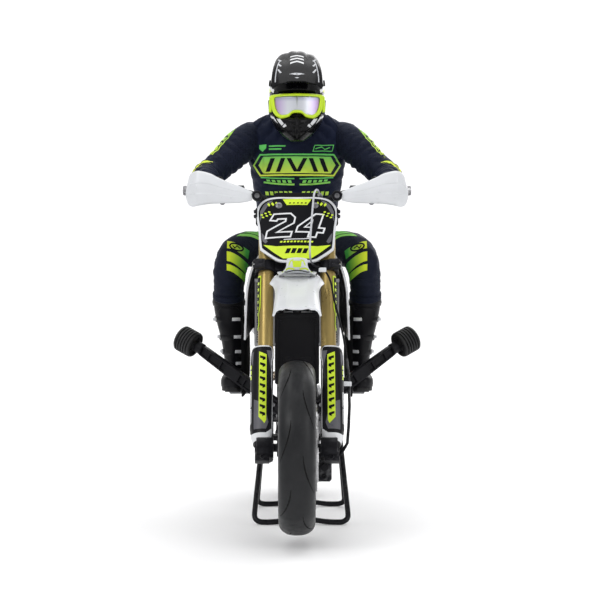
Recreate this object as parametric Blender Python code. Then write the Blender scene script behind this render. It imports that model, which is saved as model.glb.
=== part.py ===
"""A quarter-scale radio-controlled supermoto motorcycle with its rider figure, on its wire work stand.

The bike faces -Y and +Z is up. Sizes below are in millimetres and are turned into metres where a mesh
is made. Positions are (x, y, z) with y counted back from the front axle and z up from the floor;
to_row moves them into the finished frame, whose origin is on the floor under the middle of the object.
"""

import math

import bmesh
import bpy
from mathutils import Matrix, Vector

MM = 0.001
GAP = 0.6  # clearance grown onto a neighbour before it is cut away

# ---- driving dimensions --------------------------------------------------------------------------
MIDDLE_Y = 190.6  # half way between the front tyre and the tail, back from the front axle
WHEELBASE = 370.0
STAND_LIFT = 9.0  # how far the stand holds both tyres off the floor
FRONT_TYRE_R, FRONT_TYRE_HALF = 75.0, 15.5
REAR_TYRE_R, REAR_TYRE_HALF = 76.5, 19.0
RIM_R, BEAD_R = 53.5, 54.0
RAKE = math.radians(26)
AXLE_OFFSET = 13.0  # the front axle lies this far ahead of the steering axis
FORK_OFFSET = 6.5  # the fork tubes lie this far ahead of the steering axis
FORK_HALF = 28.0  # half the distance between the fork tubes
FORK_TUBE_R = 7.25
PIVOT = (212.0, 107.0)  # y, z of the swingarm pivot and the countershaft
SHOCK_TOP = (222.0, 199.0)
SHOCK_FOOT = (256.0, 116.0)
FRONT_AXLE = Vector((0, 0, STAND_LIFT + FRONT_TYRE_R))
REAR_AXLE = Vector((0, WHEELBASE, STAND_LIFT + REAR_TYRE_R))
STAND_X = 4.0  # the bike sits slightly to one side of its stand
SHOULDER, ELBOW, HAND = Vector((48, 208, 371)), Vector((91, 184, 334)), Vector((80, 126, 312))
SHOULDER_BALL, ELBOW_BALL = 15.0, 12.0
ROLLER = Vector((103.5, 163, 170.5))
ROLLER_AXIS = Vector((0.807, 0.407, 0.429)).normalized()

STEERING_ORIGIN = FRONT_AXLE + AXLE_OFFSET * Vector((0, math.cos(RAKE), -math.sin(RAKE)))
FORK = Matrix.Translation(STEERING_ORIGIN) @ Matrix.Rotation(-RAKE, 4, "X")

COLOURS = {  # colour, roughness, metallic
    "black_plastic": ((0.03, 0.03, 0.035), 0.5, 0.0),
    "white_plastic": ((0.8, 0.81, 0.83), 0.35, 0.0),
    "yellow_plastic": ((0.72, 0.88, 0.12), 0.4, 0.0),
    "graphic_black": ((0.02, 0.02, 0.03), 0.3, 0.0),
    "gold_anodised": ((0.52, 0.38, 0.14), 0.3, 0.9),
    "steel": ((0.55, 0.56, 0.58), 0.3, 1.0),
    "black_metal": ((0.04, 0.04, 0.045), 0.4, 0.6),
    "tyre_rubber": ((0.035, 0.037, 0.042), 0.75, 0.0),
    "hard_rubber": ((0.03, 0.03, 0.033), 0.6, 0.0),
    "jersey": ((0.02, 0.025, 0.05), 0.85, 0.0),
    "boot": ((0.03, 0.03, 0.035), 0.5, 0.0),
    "helmet_shell": ((0.03, 0.03, 0.035), 0.25, 0.0),
    "battery": ((0.12, 0.2, 0.5), 0.5, 0.0),
}


# ---- helpers -------------------------------------------------------------------------------------
def to_row(point):
    """A point in millimetres as metres in the finished frame."""
    x, y, z = point
    return Vector((x, y - MIDDLE_Y, z)) * MM


def in_fork(x, y, t):
    """A point given in the fork's own frame: y back from the steering axis, t up along it."""
    return FORK @ Vector((x, y, t))


def material(name):
    found = bpy.data.materials.get(name)
    if found is None:
        colour, roughness, metallic = COLOURS[name]
        found = bpy.data.materials.new(name)
        found.use_nodes = True
        shader = found.node_tree.nodes["Principled BSDF"]
        shader.inputs["Base Color"].default_value = (*colour, 1)
        shader.inputs["Roughness"].default_value = roughness
        shader.inputs["Metallic"].default_value = metallic
    return found


def finish(bm, name, finish_name, pivot=None):
    """Turns a bmesh in millimetres into a named object whose origin is at pivot."""
    origin = to_row(pivot) if pivot is not None else Vector((0, 0, 0))
    for vert in bm.verts:
        vert.co = to_row(vert.co) - origin
    bmesh.ops.recalc_face_normals(bm, faces=bm.faces)
    mesh = bpy.data.meshes.new(name)
    bm.to_mesh(mesh)
    bm.free()
    mesh.shade_smooth()
    mesh.set_sharp_from_angle(angle=math.radians(35))
    mesh.materials.append(material(finish_name))
    made = bpy.data.objects.new(name, mesh)
    made.location = origin
    bpy.context.scene.collection.objects.link(made)
    return made


def skin(bm, rings, caps=True):
    """Joins rings of points, each with the same count, into a closed tube."""
    loops = [[bm.verts.new(point) for point in ring] for ring in rings]
    count = len(loops[0])
    for near, far in zip(loops, loops[1:]):
        for i in range(count):
            bm.faces.new((near[i], near[(i + 1) % count], far[(i + 1) % count], far[i]))
    if caps:
        bm.faces.new(loops[0])
        bm.faces.new(loops[-1])
    return loops


def oval(centre, side, up, half_side, half_up, count, power=2.0):
    """A ring of points: an ellipse at power 2, squarer above it."""
    points = []
    for i in range(count):
        angle = 2 * math.pi * (i + 0.5) / count
        c, s = math.cos(angle), math.sin(angle)
        a = math.copysign(abs(c) ** (2 / power), c) * half_side
        b = math.copysign(abs(s) ** (2 / power), s) * half_up
        points.append(Vector(centre) + side * a + up * b)
    return points


def loft(name, finish_name, sections, count=14, power=2.0, pivot=None):
    """A body through level sections (x, y, z, half width, half depth)."""
    bm = bmesh.new()
    across, back = Vector((1, 0, 0)), Vector((0, 1, 0))
    skin(bm, [oval((x, y, z), across, back, a, b, count, power) for x, y, z, a, b in sections])
    return finish(bm, name, finish_name, pivot)


def loft_back(name, finish_name, sections, count=14, power=2.0, pivot=None):
    """A body through upright sections (x, y, z, half width, half height) met going back."""
    bm = bmesh.new()
    across, up = Vector((1, 0, 0)), Vector((0, 0, 1))
    skin(bm, [oval((x, y, z), across, up, a, b, count, power) for x, y, z, a, b in sections])
    return finish(bm, name, finish_name, pivot)


def sweep(name, finish_name, path, radii, sides=8, pivot=None):
    """A round bar along path, with one radius or one for each point."""
    points = [Vector(p) for p in path]
    radii = radii if isinstance(radii, (list, tuple)) else [radii] * len(points)
    tangents = []
    for i in range(len(points)):
        before = (points[i] - points[i - 1]).normalized() if i else Vector((0, 0, 0))
        after = (points[i + 1] - points[i]).normalized() if i + 1 < len(points) else Vector((0, 0, 0))
        tangents.append((before + after).normalized())
    side = tangents[0].orthogonal().normalized()
    rings = []
    for point, tangent, radius in zip(points, tangents, radii):
        side = (side - tangent * side.dot(tangent)).normalized()
        rings.append(oval(point, side, tangent.cross(side), radius, radius, sides))
    bm = bmesh.new()
    skin(bm, rings)
    return finish(bm, name, finish_name, pivot)


def rounded(path, radius, steps=3):
    """A path with its corners turned into arcs of up to that radius."""
    points = [Vector(p) for p in path]
    made = [points[0]]
    for before, corner, after in zip(points, points[1:], points[2:]):
        back, ahead = before - corner, after - corner
        reach = min(radius, back.length * 0.45, ahead.length * 0.45)
        start, end = corner + back.normalized() * reach, corner + ahead.normalized() * reach
        for i in range(steps + 1):
            s = i / steps
            made.append(start * (1 - s) ** 2 + corner * 2 * s * (1 - s) + end * s ** 2)
    return made + [points[-1]]


def turned(name, finish_name, profile, centre, axis, segments=16, pivot=None):
    """A closed profile of (along, radius) points spun round an axis. A point on the axis has radius 0."""
    axis = Vector(axis).normalized()
    side = axis.orthogonal().normalized()
    bm = bmesh.new()
    verts = [bm.verts.new(Vector(centre) + axis * along + side * radius) for along, radius in profile]
    edges = [bm.edges.new((verts[i], verts[(i + 1) % len(verts)])) for i in range(len(verts))]
    edges = [e for e, p, q in zip(edges, profile, profile[1:] + profile[:1]) if p[1] > 0 or q[1] > 0]
    bmesh.ops.spin(
        bm, geom=verts + edges, cent=centre, axis=axis, angle=2 * math.pi, steps=segments, use_merge=True
    )
    bmesh.ops.remove_doubles(bm, verts=bm.verts, dist=0.01)
    loose = [e for e in bm.edges if not e.link_faces]
    bmesh.ops.delete(bm, geom=loose, context="EDGES")
    return finish(bm, name, finish_name, pivot)


def rod(name, finish_name, start, end, radius, segments=12, pivot=None):
    start, end = Vector(start), Vector(end)
    length = (end - start).length
    profile = [(0, 0), (0, radius), (length, radius), (length, 0)]
    return turned(name, finish_name, profile, start, end - start, segments, pivot)


def pipe(name, finish_name, start, end, inner, outer, segments=12, pivot=None):
    start, end = Vector(start), Vector(end)
    length = (end - start).length
    profile = [(0, inner), (0, outer), (length, outer), (length, inner)]
    return turned(name, finish_name, profile, start, end - start, segments, pivot)


def block(name, finish_name, low, high, bevel=1.0, pivot=None):
    """A box between two corners with chamfered edges."""
    low, high = Vector(low), Vector(high)
    bm = bmesh.new()
    bmesh.ops.create_cube(bm, size=1)
    for vert in bm.verts:
        vert.co = Vector([(a + b) / 2 + c * (b - a) for a, b, c in zip(low, high, vert.co)])
    if bevel:
        bmesh.ops.bevel(bm, geom=bm.edges[:], offset=bevel, segments=1, affect="EDGES")
    return finish(bm, name, finish_name, pivot)


def prism(name, finish_name, outline, place, thickness, pivot=None):
    """A flat outline of (u, v) points, put in space by place(u, v, w) and thickened from w 0."""
    bm = bmesh.new()
    skin(bm, [[place(u, v, w) for u, v in outline] for w in (0, thickness)])
    return finish(bm, name, finish_name, pivot)


def shell(name, finish_name, rows, thickness, pivot=None):
    """A sheet through rows of points, thickened to one side."""
    bm = bmesh.new()
    grid = [[bm.verts.new(point) for point in row] for row in rows]
    for near, far in zip(grid, grid[1:]):
        for i in range(len(near) - 1):
            bm.faces.new((near[i], near[i + 1], far[i + 1], far[i]))
    made = finish(bm, name, finish_name, pivot)
    solidify = made.modifiers.new("thickness", "SOLIDIFY")
    solidify.thickness = thickness * MM
    solidify.offset = 0
    return made


def mirrored(rows):
    return [[(-x, y, z) for x, y, z in row] for row in rows]


def solve(target, operation, others, keep=False):
    """Applies a Boolean between target and the other objects, which are removed unless kept."""
    group = bpy.data.collections.new("operands")
    for other in others:
        group.objects.link(other)
    modifier = target.modifiers.new("solve", "BOOLEAN")
    modifier.operation = operation
    modifier.operand_type = "COLLECTION"
    modifier.collection = group
    modifier.solver = "EXACT"
    bpy.context.view_layer.update()
    solved = bpy.data.meshes.new_from_object(target.evaluated_get(bpy.context.evaluated_depsgraph_get()))
    target.modifiers.clear()
    target.data = solved
    bpy.data.collections.remove(group)
    if not keep:
        for other in others:
            bpy.data.objects.remove(other)
    return target


def join(target, *others):
    return solve(target, "UNION", others)


def cut(target, *others):
    return solve(target, "DIFFERENCE", others)


def carve(target, *neighbours, gap=GAP):
    """Cuts the neighbours, grown by a clearance, out of target."""
    for neighbour in neighbours:
        grown = neighbour.copy()
        grown.data = neighbour.data.copy()
        bpy.context.scene.collection.objects.link(grown)
        swell = grown.modifiers.new("swell", "DISPLACE")
        swell.mid_level = 0
        swell.strength = gap * MM
        cut(target, grown)
    return target


def both(build):
    """Builds a left and a right piece: build(side name, +1 or -1). The rider's left is at +X."""
    return [build("left", 1), build("right", -1)]


def at_side(side, point):
    x, y, z = point
    return Vector((side * x, y, z))


# ---- wheels --------------------------------------------------------------------------------------
def tyre(name, axle, radius, half):
    """A tyre's section: bead, sidewall, and a crown that is nearly round."""
    crown = radius - 21
    right = [(0.78, 0), (0.95, 6), (1, 11), (0.86, 16), (0.5, 19.8)]
    side = [(half * a, crown + r) for a, r in right]
    profile = side + [(0, radius)] + [(-a, r) for a, r in reversed(side)]
    return turned(name, "tyre_rubber", profile, axle, (1, 0, 0), 32, axle)


def spoked_wheel(name, axle, half_rim, hub, spokes):
    """A rim, a hub turned with its discs in one profile, and straight spokes crossing between them."""
    rim = [
        (-half_rim, RIM_R - 4.5), (-half_rim, RIM_R), (half_rim, RIM_R), (half_rim, RIM_R - 4.5),
        (half_rim * 0.4, RIM_R - 7), (-half_rim * 0.4, RIM_R - 7),
    ]
    wheel = turned(name, "black_metal", rim, axle, (1, 0, 0), 24, axle)
    pieces = [turned(name + "_hub", "black_metal", hub, axle, (1, 0, 0), 20, axle)]
    for i in range(spokes):
        angle, lean = 2 * math.pi * i / spokes, math.radians(14 if i % 2 else -14)
        flange = 8.5 if i % 4 < 2 else -8.5
        inner = axle + Vector((flange, 9.5 * math.cos(angle), 9.5 * math.sin(angle)))
        reach = RIM_R - 5.5
        outer = axle + Vector((0, reach * math.cos(angle + lean), reach * math.sin(angle + lean)))
        pieces.append(rod(f"{name}_spoke_{i}", "steel", inner, outer, 1.5, 6))
    return join(wheel, *pieces)


def front_wheel():
    tyre("front_tyre", FRONT_AXLE, FRONT_TYRE_R, FRONT_TYRE_HALF)
    hub = [
        (-17.5, 4.1), (-17.5, 8), (-11, 8), (-10.5, 12), (-7, 12), (-6, 7), (6, 7), (7, 12), (10.5, 12),
        (11, 9), (16, 9), (16, 38), (17.3, 38), (17.3, 9), (17.8, 8), (17.8, 4.1),
    ]
    spoked_wheel("front_wheel", FRONT_AXLE, 12.0, hub, 8)


def rear_wheel():
    tyre("rear_tyre", REAR_AXLE, REAR_TYRE_R, REAR_TYRE_HALF)
    hub = [
        (-23.5, 4.6), (-23.5, 9), (-21.5, 9), (-21.5, 26), (-20.2, 26), (-20.2, 9), (-11, 9), (-10.5, 12),
        (-7, 12), (-6, 8), (6, 8), (7, 12), (10.5, 12), (11, 9), (21.5, 9), (21.5, 29.5), (23.3, 29.5),
        (23.3, 9), (24.5, 9), (24.5, 4.6),
    ]
    spoked_wheel("rear_wheel", REAR_AXLE, 15.0, hub, 8)


# ---- front end -----------------------------------------------------------------------------------
def fork_tubes():
    def tube(side_name, side):
        start = in_fork(side * FORK_HALF, -FORK_OFFSET, 88)
        end = in_fork(side * FORK_HALF, -FORK_OFFSET, 237)
        return pipe(f"fork_tube_{side_name}", "gold_anodised", start, end, 5.8, FORK_TUBE_R, 16)

    return both(tube)


def triple_clamps():
    """The lower clamp carries the stem, which turns in the head tube, and the upper clamp sits on it."""
    wide = [(-38, -7), (-36, 1), (-22, 4), (-8, 9), (8, 9), (22, 4), (36, 1), (38, -7), (34, -15),
            (21, -15),
            (14, -10), (-14, -10), (-21, -15), (-34, -15)]
    for name, low, thickness in (("lower_clamp", 171, 10), ("upper_clamp", 222, 11)):
        clamp = prism(name, "black_metal", wide, lambda u, v, w, t=low: in_fork(u, v, t + w), thickness)
        if name == "lower_clamp":
            join(clamp, rod("stem", "black_metal", in_fork(0, 0, 175), in_fork(0, 0, 221.7), 5.4))
        for side in (1, -1):
            start, end = (in_fork(side * FORK_HALF, -FORK_OFFSET, t)
                          for t in (low - 5, low + thickness + 5))
            cut(clamp, rod("tube_hole", "black_metal", start, end, FORK_TUBE_R + 0.35, 16))


def fork_legs(tubes):
    """Each slider runs in its tube and ends in a lug for the axle; the left one carries the axle."""
    def leg(side_name, side):
        x = side * FORK_HALF
        slider = rod(f"fork_leg_{side_name}", "black_metal", in_fork(x, -FORK_OFFSET, -8),
                     in_fork(x, -FORK_OFFSET, 185), 5.3)
        foot = rod("foot", "black_metal", in_fork(x, -FORK_OFFSET, -9), in_fork(x, -FORK_OFFSET, 30),
                   7.6, 14)
        lug = rod("lug", "black_metal", FRONT_AXLE + Vector((side * 20.3, 0, 0)), FRONT_AXLE
                  + Vector((side * 35, 0, 0)), 9)
        join(slider, foot, lug)
        if side > 0:
            join(slider, rod("axle", "black_metal", FRONT_AXLE + Vector((-36, 0, 0)), FRONT_AXLE
                             + Vector((22, 0, 0)), 3.7))
        else:
            cut(slider, rod("bore", "black_metal", FRONT_AXLE + Vector((-40, 0, 0)), FRONT_AXLE
                            + Vector((-10, 0, 0)), 4.1))
        return slider

    return both(leg)


def fork_guards(legs):
    """Channel-shaped shields over the front and the outer side of the sliders."""
    channel = [(-6.4, -6), (-4.6, -8.8), (-1, -9.8), (5, -9.8), (9.4, -7.6), (12, -3), (12.4, 3),
               (11.6, 8.5)]

    def guard(side_name, side):
        rows = []
        for t, taper in ((5, 0.62), (12, 0.86), (20, 1), (84, 1), (95, 0.86)):
            rows.append([in_fork(side * (FORK_HALF + 1.5 + (x - 1.5) * taper), y - FORK_OFFSET, t)
                         for x, y in channel])
        return shell(f"fork_guard_{side_name}", "graphic_black", rows, 1.5)

    guards = both(guard)
    for made, leg, side in zip(guards, legs, (1, -1)):
        start = in_fork(side * FORK_HALF, -FORK_OFFSET, 2)
        end = in_fork(side * FORK_HALF, -FORK_OFFSET, 100)
        cut(made, rod("tube_way", "black_metal", start, end, FORK_TUBE_R + 0.35, 16))
        carve(made, leg, gap=0.4)


def brake_caliper():
    """Two halves across the disc behind the left lug, with the hose that feeds them."""
    low, high = FRONT_AXLE + Vector((13, 15, -31)), FRONT_AXLE + Vector((30, 36, -6))
    caliper = block("brake_caliper", "black_metal", low, high, 1.5)
    disc_slot = FRONT_AXLE + Vector((15, 0, 0)), FRONT_AXLE + Vector((18.6, 0, 0))
    cut(caliper, rod("slot", "black_metal", *disc_slot, 39.2, 24))
    route = [(43.5, 27, 160), (44.5, 25, 150), (45.5, 21, 138), (45.8, 18, 118), (45, 18, 100),
             (44, 21, 86), (38, 25, 76),
             (27, 26, 69)]
    return join(caliper, sweep("lower_hose", "black_plastic", route, 1.4, 6))


def handlebar():
    """A swept tube held by two clamps that stand on the upper clamp, with both lever perches."""
    half = [(0, -2, 245), (16, -2, 245), (30, -2, 250), (46, 0, 259), (66, 1.5, 261), (101, 3.5, 262.8)]
    path = [in_fork(-x, y, t) for x, y, t in reversed(half[1:])] + [in_fork(*p) for p in half]
    bar = sweep("handlebar", "black_metal", path, 3.4, 10)
    for side in (1, -1):
        low, high = in_fork(side * 10, -2, 234.5), in_fork(side * 10, -2, 246)
        perch = in_fork(side * 54, 0, 260.3)
        lever = [perch + Vector((0, -6, 0)), perch + Vector((side * 6, -14, -2)), perch
                 + Vector((side * 30, -15, -3)),
                 perch + Vector((side * 46, -12, -4))]
        join(bar, rod("riser", "black_metal", low, high, 5), rod("perch", "black_metal", perch
                                                                 - Vector((4, 0, 0)),
             perch + Vector((4, 0, 0)), 5.6), sweep("lever", "black_metal", lever, 2.0, 6),
             rod("pin", "black_metal", perch, perch + Vector((0, -8, 0)), 3, 8))
        join(bar, rod("shield_stub", "black_metal", in_fork(side * 36.6, -1, 254),
                      in_fork(side * 36.6, -23.5, 242), 2.4, 8))
    return bar


def gloves(bar):
    """Closed hands round the grips."""
    def glove(side_name, side):
        along = (in_fork(side * 101, 3.5, 262.8) - in_fork(side * 66, 1.5, 261)).normalized()
        up, back = Vector((0, 0, 1)), Vector((0, 1, 0))
        centre = in_fork(side * 82, 2.4, 261.8)
        rings = [oval(centre + along * a, back, up, b, c, 12, 2.6)
                 for a, b, c in ((-13, 8, 8), (-11, 10.5, 10), (0, 11.5, 11), (11, 10.5, 10), (13, 8, 8))]
        bm = bmesh.new()
        skin(bm, rings)
        made = finish(bm, f"glove_{side_name}", "jersey")
        return carve(made, bar, gap=0.5)

    return both(glove)


def number_plate():
    """The shield in front of the bars: a rounded hexagon, slightly bowed."""
    half = [(0, 176), (14, 176), (36.5, 196), (36.9, 228), (30, 238), (20, 241), (0, 240)]
    outline = half + [(-x, t) for x, t in reversed(half[1:-1])]
    bm = bmesh.new()
    front = [bm.verts.new(in_fork(x, -24 + x * x / 240, t)) for x, t in outline]
    back = [bm.verts.new(in_fork(x, -21.5 + x * x / 240, t)) for x, t in outline]
    count = len(outline)
    for ring, bow in ((front, -25), (back, -22)):
        middle = bm.verts.new(in_fork(0, bow, 208))
        for i in range(count):
            bm.faces.new((ring[i], ring[(i + 1) % count], middle))
    for i in range(count):
        bm.faces.new((front[i], front[(i + 1) % count], back[(i + 1) % count], back[i]))
    return finish(bm, "number_plate", "white_plastic")


def front_fender():
    """One arched sheet from between the fork tubes to the nose over the tyre."""
    spine = [(83, 231, 16), (66, 233, 18), (58, 233, 23), (46, 231, 23.5), (34, 228.5, 21),
             (18, 225, 18.8), (-2, 220.5, 18.3),
             (-28, 214, 18.8), (-50, 208, 19.3), (-63, 204.2, 19.8)]
    rows = []
    for y, z, half in spine:
        rows.append([(half * a, y, z - drop) for a, drop in
                     ((-1, 5.5), (-0.95, 2), (-0.6, 0.4), (0, 0), (0.6, 0.4), (0.95, 2), (1, 5.5))])
    return shell("front_fender", "white_plastic", rows, 1.8)


def handguards():
    """Blades in front of the hands, each bolted through a ring to a stub on the bar."""
    stations = [(41, 309.5, 302.5), (52, 314, 300.4), (67, 319.6, 299.8), (80, 326.5, 299.3),
                (89, 329, 298), (96, 322, 296.5),
                (101.5, 312, 304)]

    def guard(side_name, side):
        rows = []
        for x, top, bottom in stations:
            row = []
            for i in range(5):
                share = i / 4
                bulge = 4 * math.sin(math.pi * share)
                y = 94 - bulge + 0.0045 * max(0, x - 55) ** 2
                row.append((side * x, y + (top - 300) * 0.15, top + (bottom - top) * share))
            rows.append(row)
        made = shell(f"handguard_{side_name}", "white_plastic", rows, 1.8)
        start, end = in_fork(side * 36.6, -25, 240.5), in_fork(side * 36.6, -29, 238.5)
        ring = rod("ring", "white_plastic", start, end, 4.6, 12)
        tab = sweep("tab", "white_plastic", [start.lerp(end, 0.5), (side * 43, 93, 306),
                                             (side * 48, 93, 306.5)], [2.2, 2.4, 2], 6)
        return join(made, ring, tab)

    return both(guard)


def brake_hose():
    """From the bar, over the top of the number plate, down past its point and along the left fork tube."""
    route = [(22, 118, 306), (19, 104, 312), (16.5, 90, 310), (15, 82, 303), (13, 70, 280),
             (11.5, 58, 255), (14, 53, 243),
             (24, 56, 238), (30, 60, 228), (33, 52, 212), (37, 44, 196)]
    return sweep("brake_hose", "black_plastic", rounded(route, 6, 2), 1.3, 6)


# ---- chassis -------------------------------------------------------------------------------------
def main_frame():
    """Head tube, twin spars, down tube, cradle rails, subframe and the pin that the swingarm turns on."""
    y, z = PIVOT
    frame = pipe("main_frame", "black_metal", in_fork(0, 0, 184), in_fork(0, 0, 219), 6.0, 9.0, 14)
    tubes = [sweep("down_tube", "black_metal", [in_fork(0, 7, 190), (0, 119, 212), (0, 124, 128),
                                                (0, 128, 95), (0, 140, 88)], 4.2)]
    for side in (1, -1):
        x = side
        spar = [in_fork(x * 4, 6, 205), (x * 14, 128, 240), (x * 17, 185, 196), (x * 16, 205, 150),
                (x * 16, y, z + 12), (x * 16, y, 92)]
        cradle = [(0, 136, 88), (x * 15, 146, 87), (x * 17, 165, 86), (x * 16.5, y + 1, 87)]
        rail = [(x * 17, 180, 194), (x * 17, 222, 200), (x * 15, 330, 222)]
        strut = [(x * 18, 206, 150), (x * 16, 315, 216)]
        tubes += [sweep("spar", "black_metal", spar, [4, 5, 5, 4, 4, 4.5]),
                  sweep("cradle", "black_metal", cradle, 3.4, 6),
                  sweep("rail", "black_metal", rail, 3, 6), sweep("strut", "black_metal", strut, 2.6, 6)]
    tubes += [rod("shock_pin", "black_metal", (-17, *SHOCK_TOP), (17, *SHOCK_TOP), 3.0),
              rod("pivot_pin", "black_metal", (-33, y, z), (33, y, z), 3.8),
              rod("tail_tie", "black_metal", (-15, 326, 221), (15, 326, 221), 2.6, 8)]
    join(frame, *tubes)
    return cut(frame, rod("stem_bore", "black_metal", in_fork(0, 0, 175), in_fork(0, 0, 228), 6.0, 14))


def power_unit(frame):
    """The engine-shaped case with the electric motor inside it."""
    case = block("motor_case", "black_metal", (-14.6, 131, 98), (14.6, 203, 142), 4)
    barrel = block("barrel", "black_metal", (-12, 138, 138), (12, 166, 164), 3)
    join(case, barrel)
    cut(case, rod("motor_bay", "black_metal", (-11, 180, 120), (30, 180, 120), 14.8, 16))
    carve(case, frame)
    motor = rod("drive_motor", "steel", (-9.5, 180, 120), (12, 180, 120), 13.8, 16)
    motor_shaft = rod("shaft", "steel", (10, 180, 120), (14.5, 180, 120), 2.5, 8)
    join(motor, motor_shaft)
    return case


def electronics(frame):
    carve(block("battery_pack", "battery", (-11.5, 134, 165.5), (11.5, 176, 205), 1.5), frame)
    servo = block("steering_servo", "black_plastic", (-9.5, 133, 208), (9.5, 158, 226), 1)
    join(servo, rod("horn_hub", "black_plastic", (0, 140, 225), (0, 140, 230), 4))
    carve(servo, frame)


def radiator_pack(frame):
    """The black front panel behind the wheel with a radiator standing at each side of it."""
    pack = block("radiator_pack", "black_plastic", (-20.5, 106, 133), (20.5, 114, 199), 1.2)
    for side in (1, -1):
        x0, x1 = sorted((side * 18, side * 39))
        join(pack, block("radiator", "black_plastic", (x0, 108, 168), (x1, 118, 230), 1.2))
    return carve(pack, frame)


def shrouds(frame, radiators):
    """Side wings from the tank forward over the radiators."""
    columns = [
        [(35.5, 108, 250), (41, 103, 240), (45.5, 100, 222), (47, 99, 200), (48, 99, 174)],
        [(34, 132, 254), (39.5, 130, 240), (43, 128, 222), (44, 126, 202), (44, 122, 182)],
        [(28, 158, 252), (32.5, 155, 238), (34, 152, 222), (34, 148, 206), (33, 143, 190)],
        [(24, 182, 246), (26.5, 180, 236), (27, 177, 224), (27, 173, 212), (26.5, 168, 200)],
    ]

    def shroud(side_name, side):
        rows = [[(side * x, y, z) for x, y, z in column] for column in columns]
        return carve(shell(f"shroud_{side_name}", "graphic_black", rows, 1.8), frame, radiators)

    return both(shroud)


def tank_and_seat(frame, wings):
    tank = loft_back("tank_cover", "black_plastic", [
        (0, 122, 254, 14, 6), (0, 130, 251, 21, 12), (0, 150, 247, 21, 14), (0, 172, 241, 18, 14),
                                                     (0, 186, 237, 16, 12)], 14, 2.6)
    carve(tank, frame, *wings)
    seat = loft_back("seat", "black_plastic", [
        (0, 188.5, 237, 14, 8), (0, 200, 234, 17, 7.5), (0, 240, 232, 19, 7.5), (0, 290, 234.5, 19, 7.5),
        (0, 325, 239, 16, 6), (0, 334, 241, 12, 4)], 14, 3)
    carve(seat, frame, *wings)
    return tank, seat


def tail(frame, seat):
    fender_spine = [(300, 226, 13), (340, 236, 17), (380, 244, 18.5), (420, 251, 17), (448, 256.5, 14),
                    (456, 258, 9)]
    rows = [[(half * a, y, z - drop) for a, drop in ((-1, 8), (-0.9, 2.5), (-0.45, 0.5), (0.45, 0.5),
                                                     (0.9, 2.5), (1, 8))]
            for y, z, half in fender_spine]
    fender = shell("rear_fender", "white_plastic", rows, 1.8)
    carve(fender, frame, seat)
    columns = [
        [(24, 206, 222), (25.5, 210, 206), (25, 222, 186), (24, 240, 166)],
        [(24, 245, 224), (26.5, 250, 208), (26.5, 258, 190), (25, 268, 174)],
        [(23.5, 290, 228), (26, 295, 213), (26, 300, 198), (24.5, 305, 184)],
        [(21.5, 330, 229), (23, 334, 219), (23.5, 338, 208), (22.5, 340, 198)],
    ]

    def panel(side_name, side):
        rows = [[(side * x, y, z) for x, y, z in column] for column in columns]
        return carve(shell(f"side_panel_{side_name}", "white_plastic", rows, 1.8), frame, seat, fender)

    return fender, both(panel)


def exhaust(frame, panels):
    path = [(-5, 134, 154), (-9, 129, 150), (-20, 131, 140), (-29, 140, 137), (-31.5, 165, 142),
            (-33, 200, 152), (-36, 240, 168), (-38, 262, 177),
            (-39, 275, 182), (-39.5, 380, 222), (-39.5, 392, 226)]
    made = sweep("exhaust", "steel", path, [3.6, 4, 4, 4, 4, 4.2, 4.6, 6, 9.2, 10, 7.5], 12)
    return made


def footpegs(frame):
    pegs = rod("footpegs", "black_metal", (-25, 198, 93.4), (25, 198, 93.4), 2.3, 8)
    for side in (1, -1):
        path = [(side * 23, 198, 93.4), (side * 27, 199, 97), (side * 29, 201, 114),
                (side * 32, 203, 120.5)]
        join(pegs, sweep("hanger", "black_metal", path, 2.4, 8),
             block("peg", "black_metal", (min(side * 31, side * 66), 198, 118.6),
                   (max(side * 31, side * 66), 208, 123.4), 1))
    return carve(pegs, frame)


def skid_plate(frame):
    rows = []
    for y, z in ((119, 112), (121, 96), (133, 83.5), (150, 80.4), (205, 80.4), (214, 82.5)):
        half = 16 if y < 125 else 20
        rows.append([(-half, y, z + 4), (-half * 0.75, y, z), (half * 0.75, y, z), (half, y, z + 4)])
    return carve(shell("skid_plate", "black_plastic", rows, 2.0), frame)


def outriggers(frame, skid):
    """Crash bars that bolt to the front of the cradle and hold a roller out at each side."""
    def arm(side_name, side):
        start = Vector((side * 13, 119, 108))
        end = at_side(side, ROLLER) - at_side(side, ROLLER_AXIS) * 12
        direction = (end - start).normalized()
        up = Vector((0, 0, 1)) - direction * direction.z
        up.normalize()
        flat = direction.cross(up)
        rings = [oval(start + (end - start) * s, flat, up, a, b, 8, 4)
                 for s, a, b in ((0, 3, 6), (0.15, 4, 6), (0.5, 4, 5.5), (0.95, 3.6, 4.6), (1, 3, 4))]
        bm = bmesh.new()
        skin(bm, rings)
        made = finish(bm, f"outrigger_{side_name}", "black_plastic")
        profile = [(-5, 0), (-5, 5.2), (2.6, 5.2), (3, 2.4), (18, 2.4), (18, 0)]
        join(made, turned("roller_axle", "black_plastic", profile, end, at_side(side, ROLLER_AXIS), 12))
        return carve(made, frame, skid)

    return both(arm)


def rollers():
    """Ribbed rubber rollers on the ends of the outriggers."""
    profile = [(-8.5, 2.8), (-8.5, 10.8), (-7.2, 12.4)]
    for i in range(4):
        left = -5 + 3.2 * i
        profile += [(left, 12.6), (left + 0.7, 11.3), (left + 1.4, 11.3), (left + 2.1, 12.6)]
    profile += [(8.4, 12), (10.4, 9.6), (11.3, 6), (11.3, 0), (8, 0), (8, 2.8)]

    def roller(side_name, side):
        centre = at_side(side, ROLLER)
        return turned(f"roller_{side_name}", "hard_rubber", profile, centre, at_side(side, ROLLER_AXIS),
                      14, centre)

    return both(roller)


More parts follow.
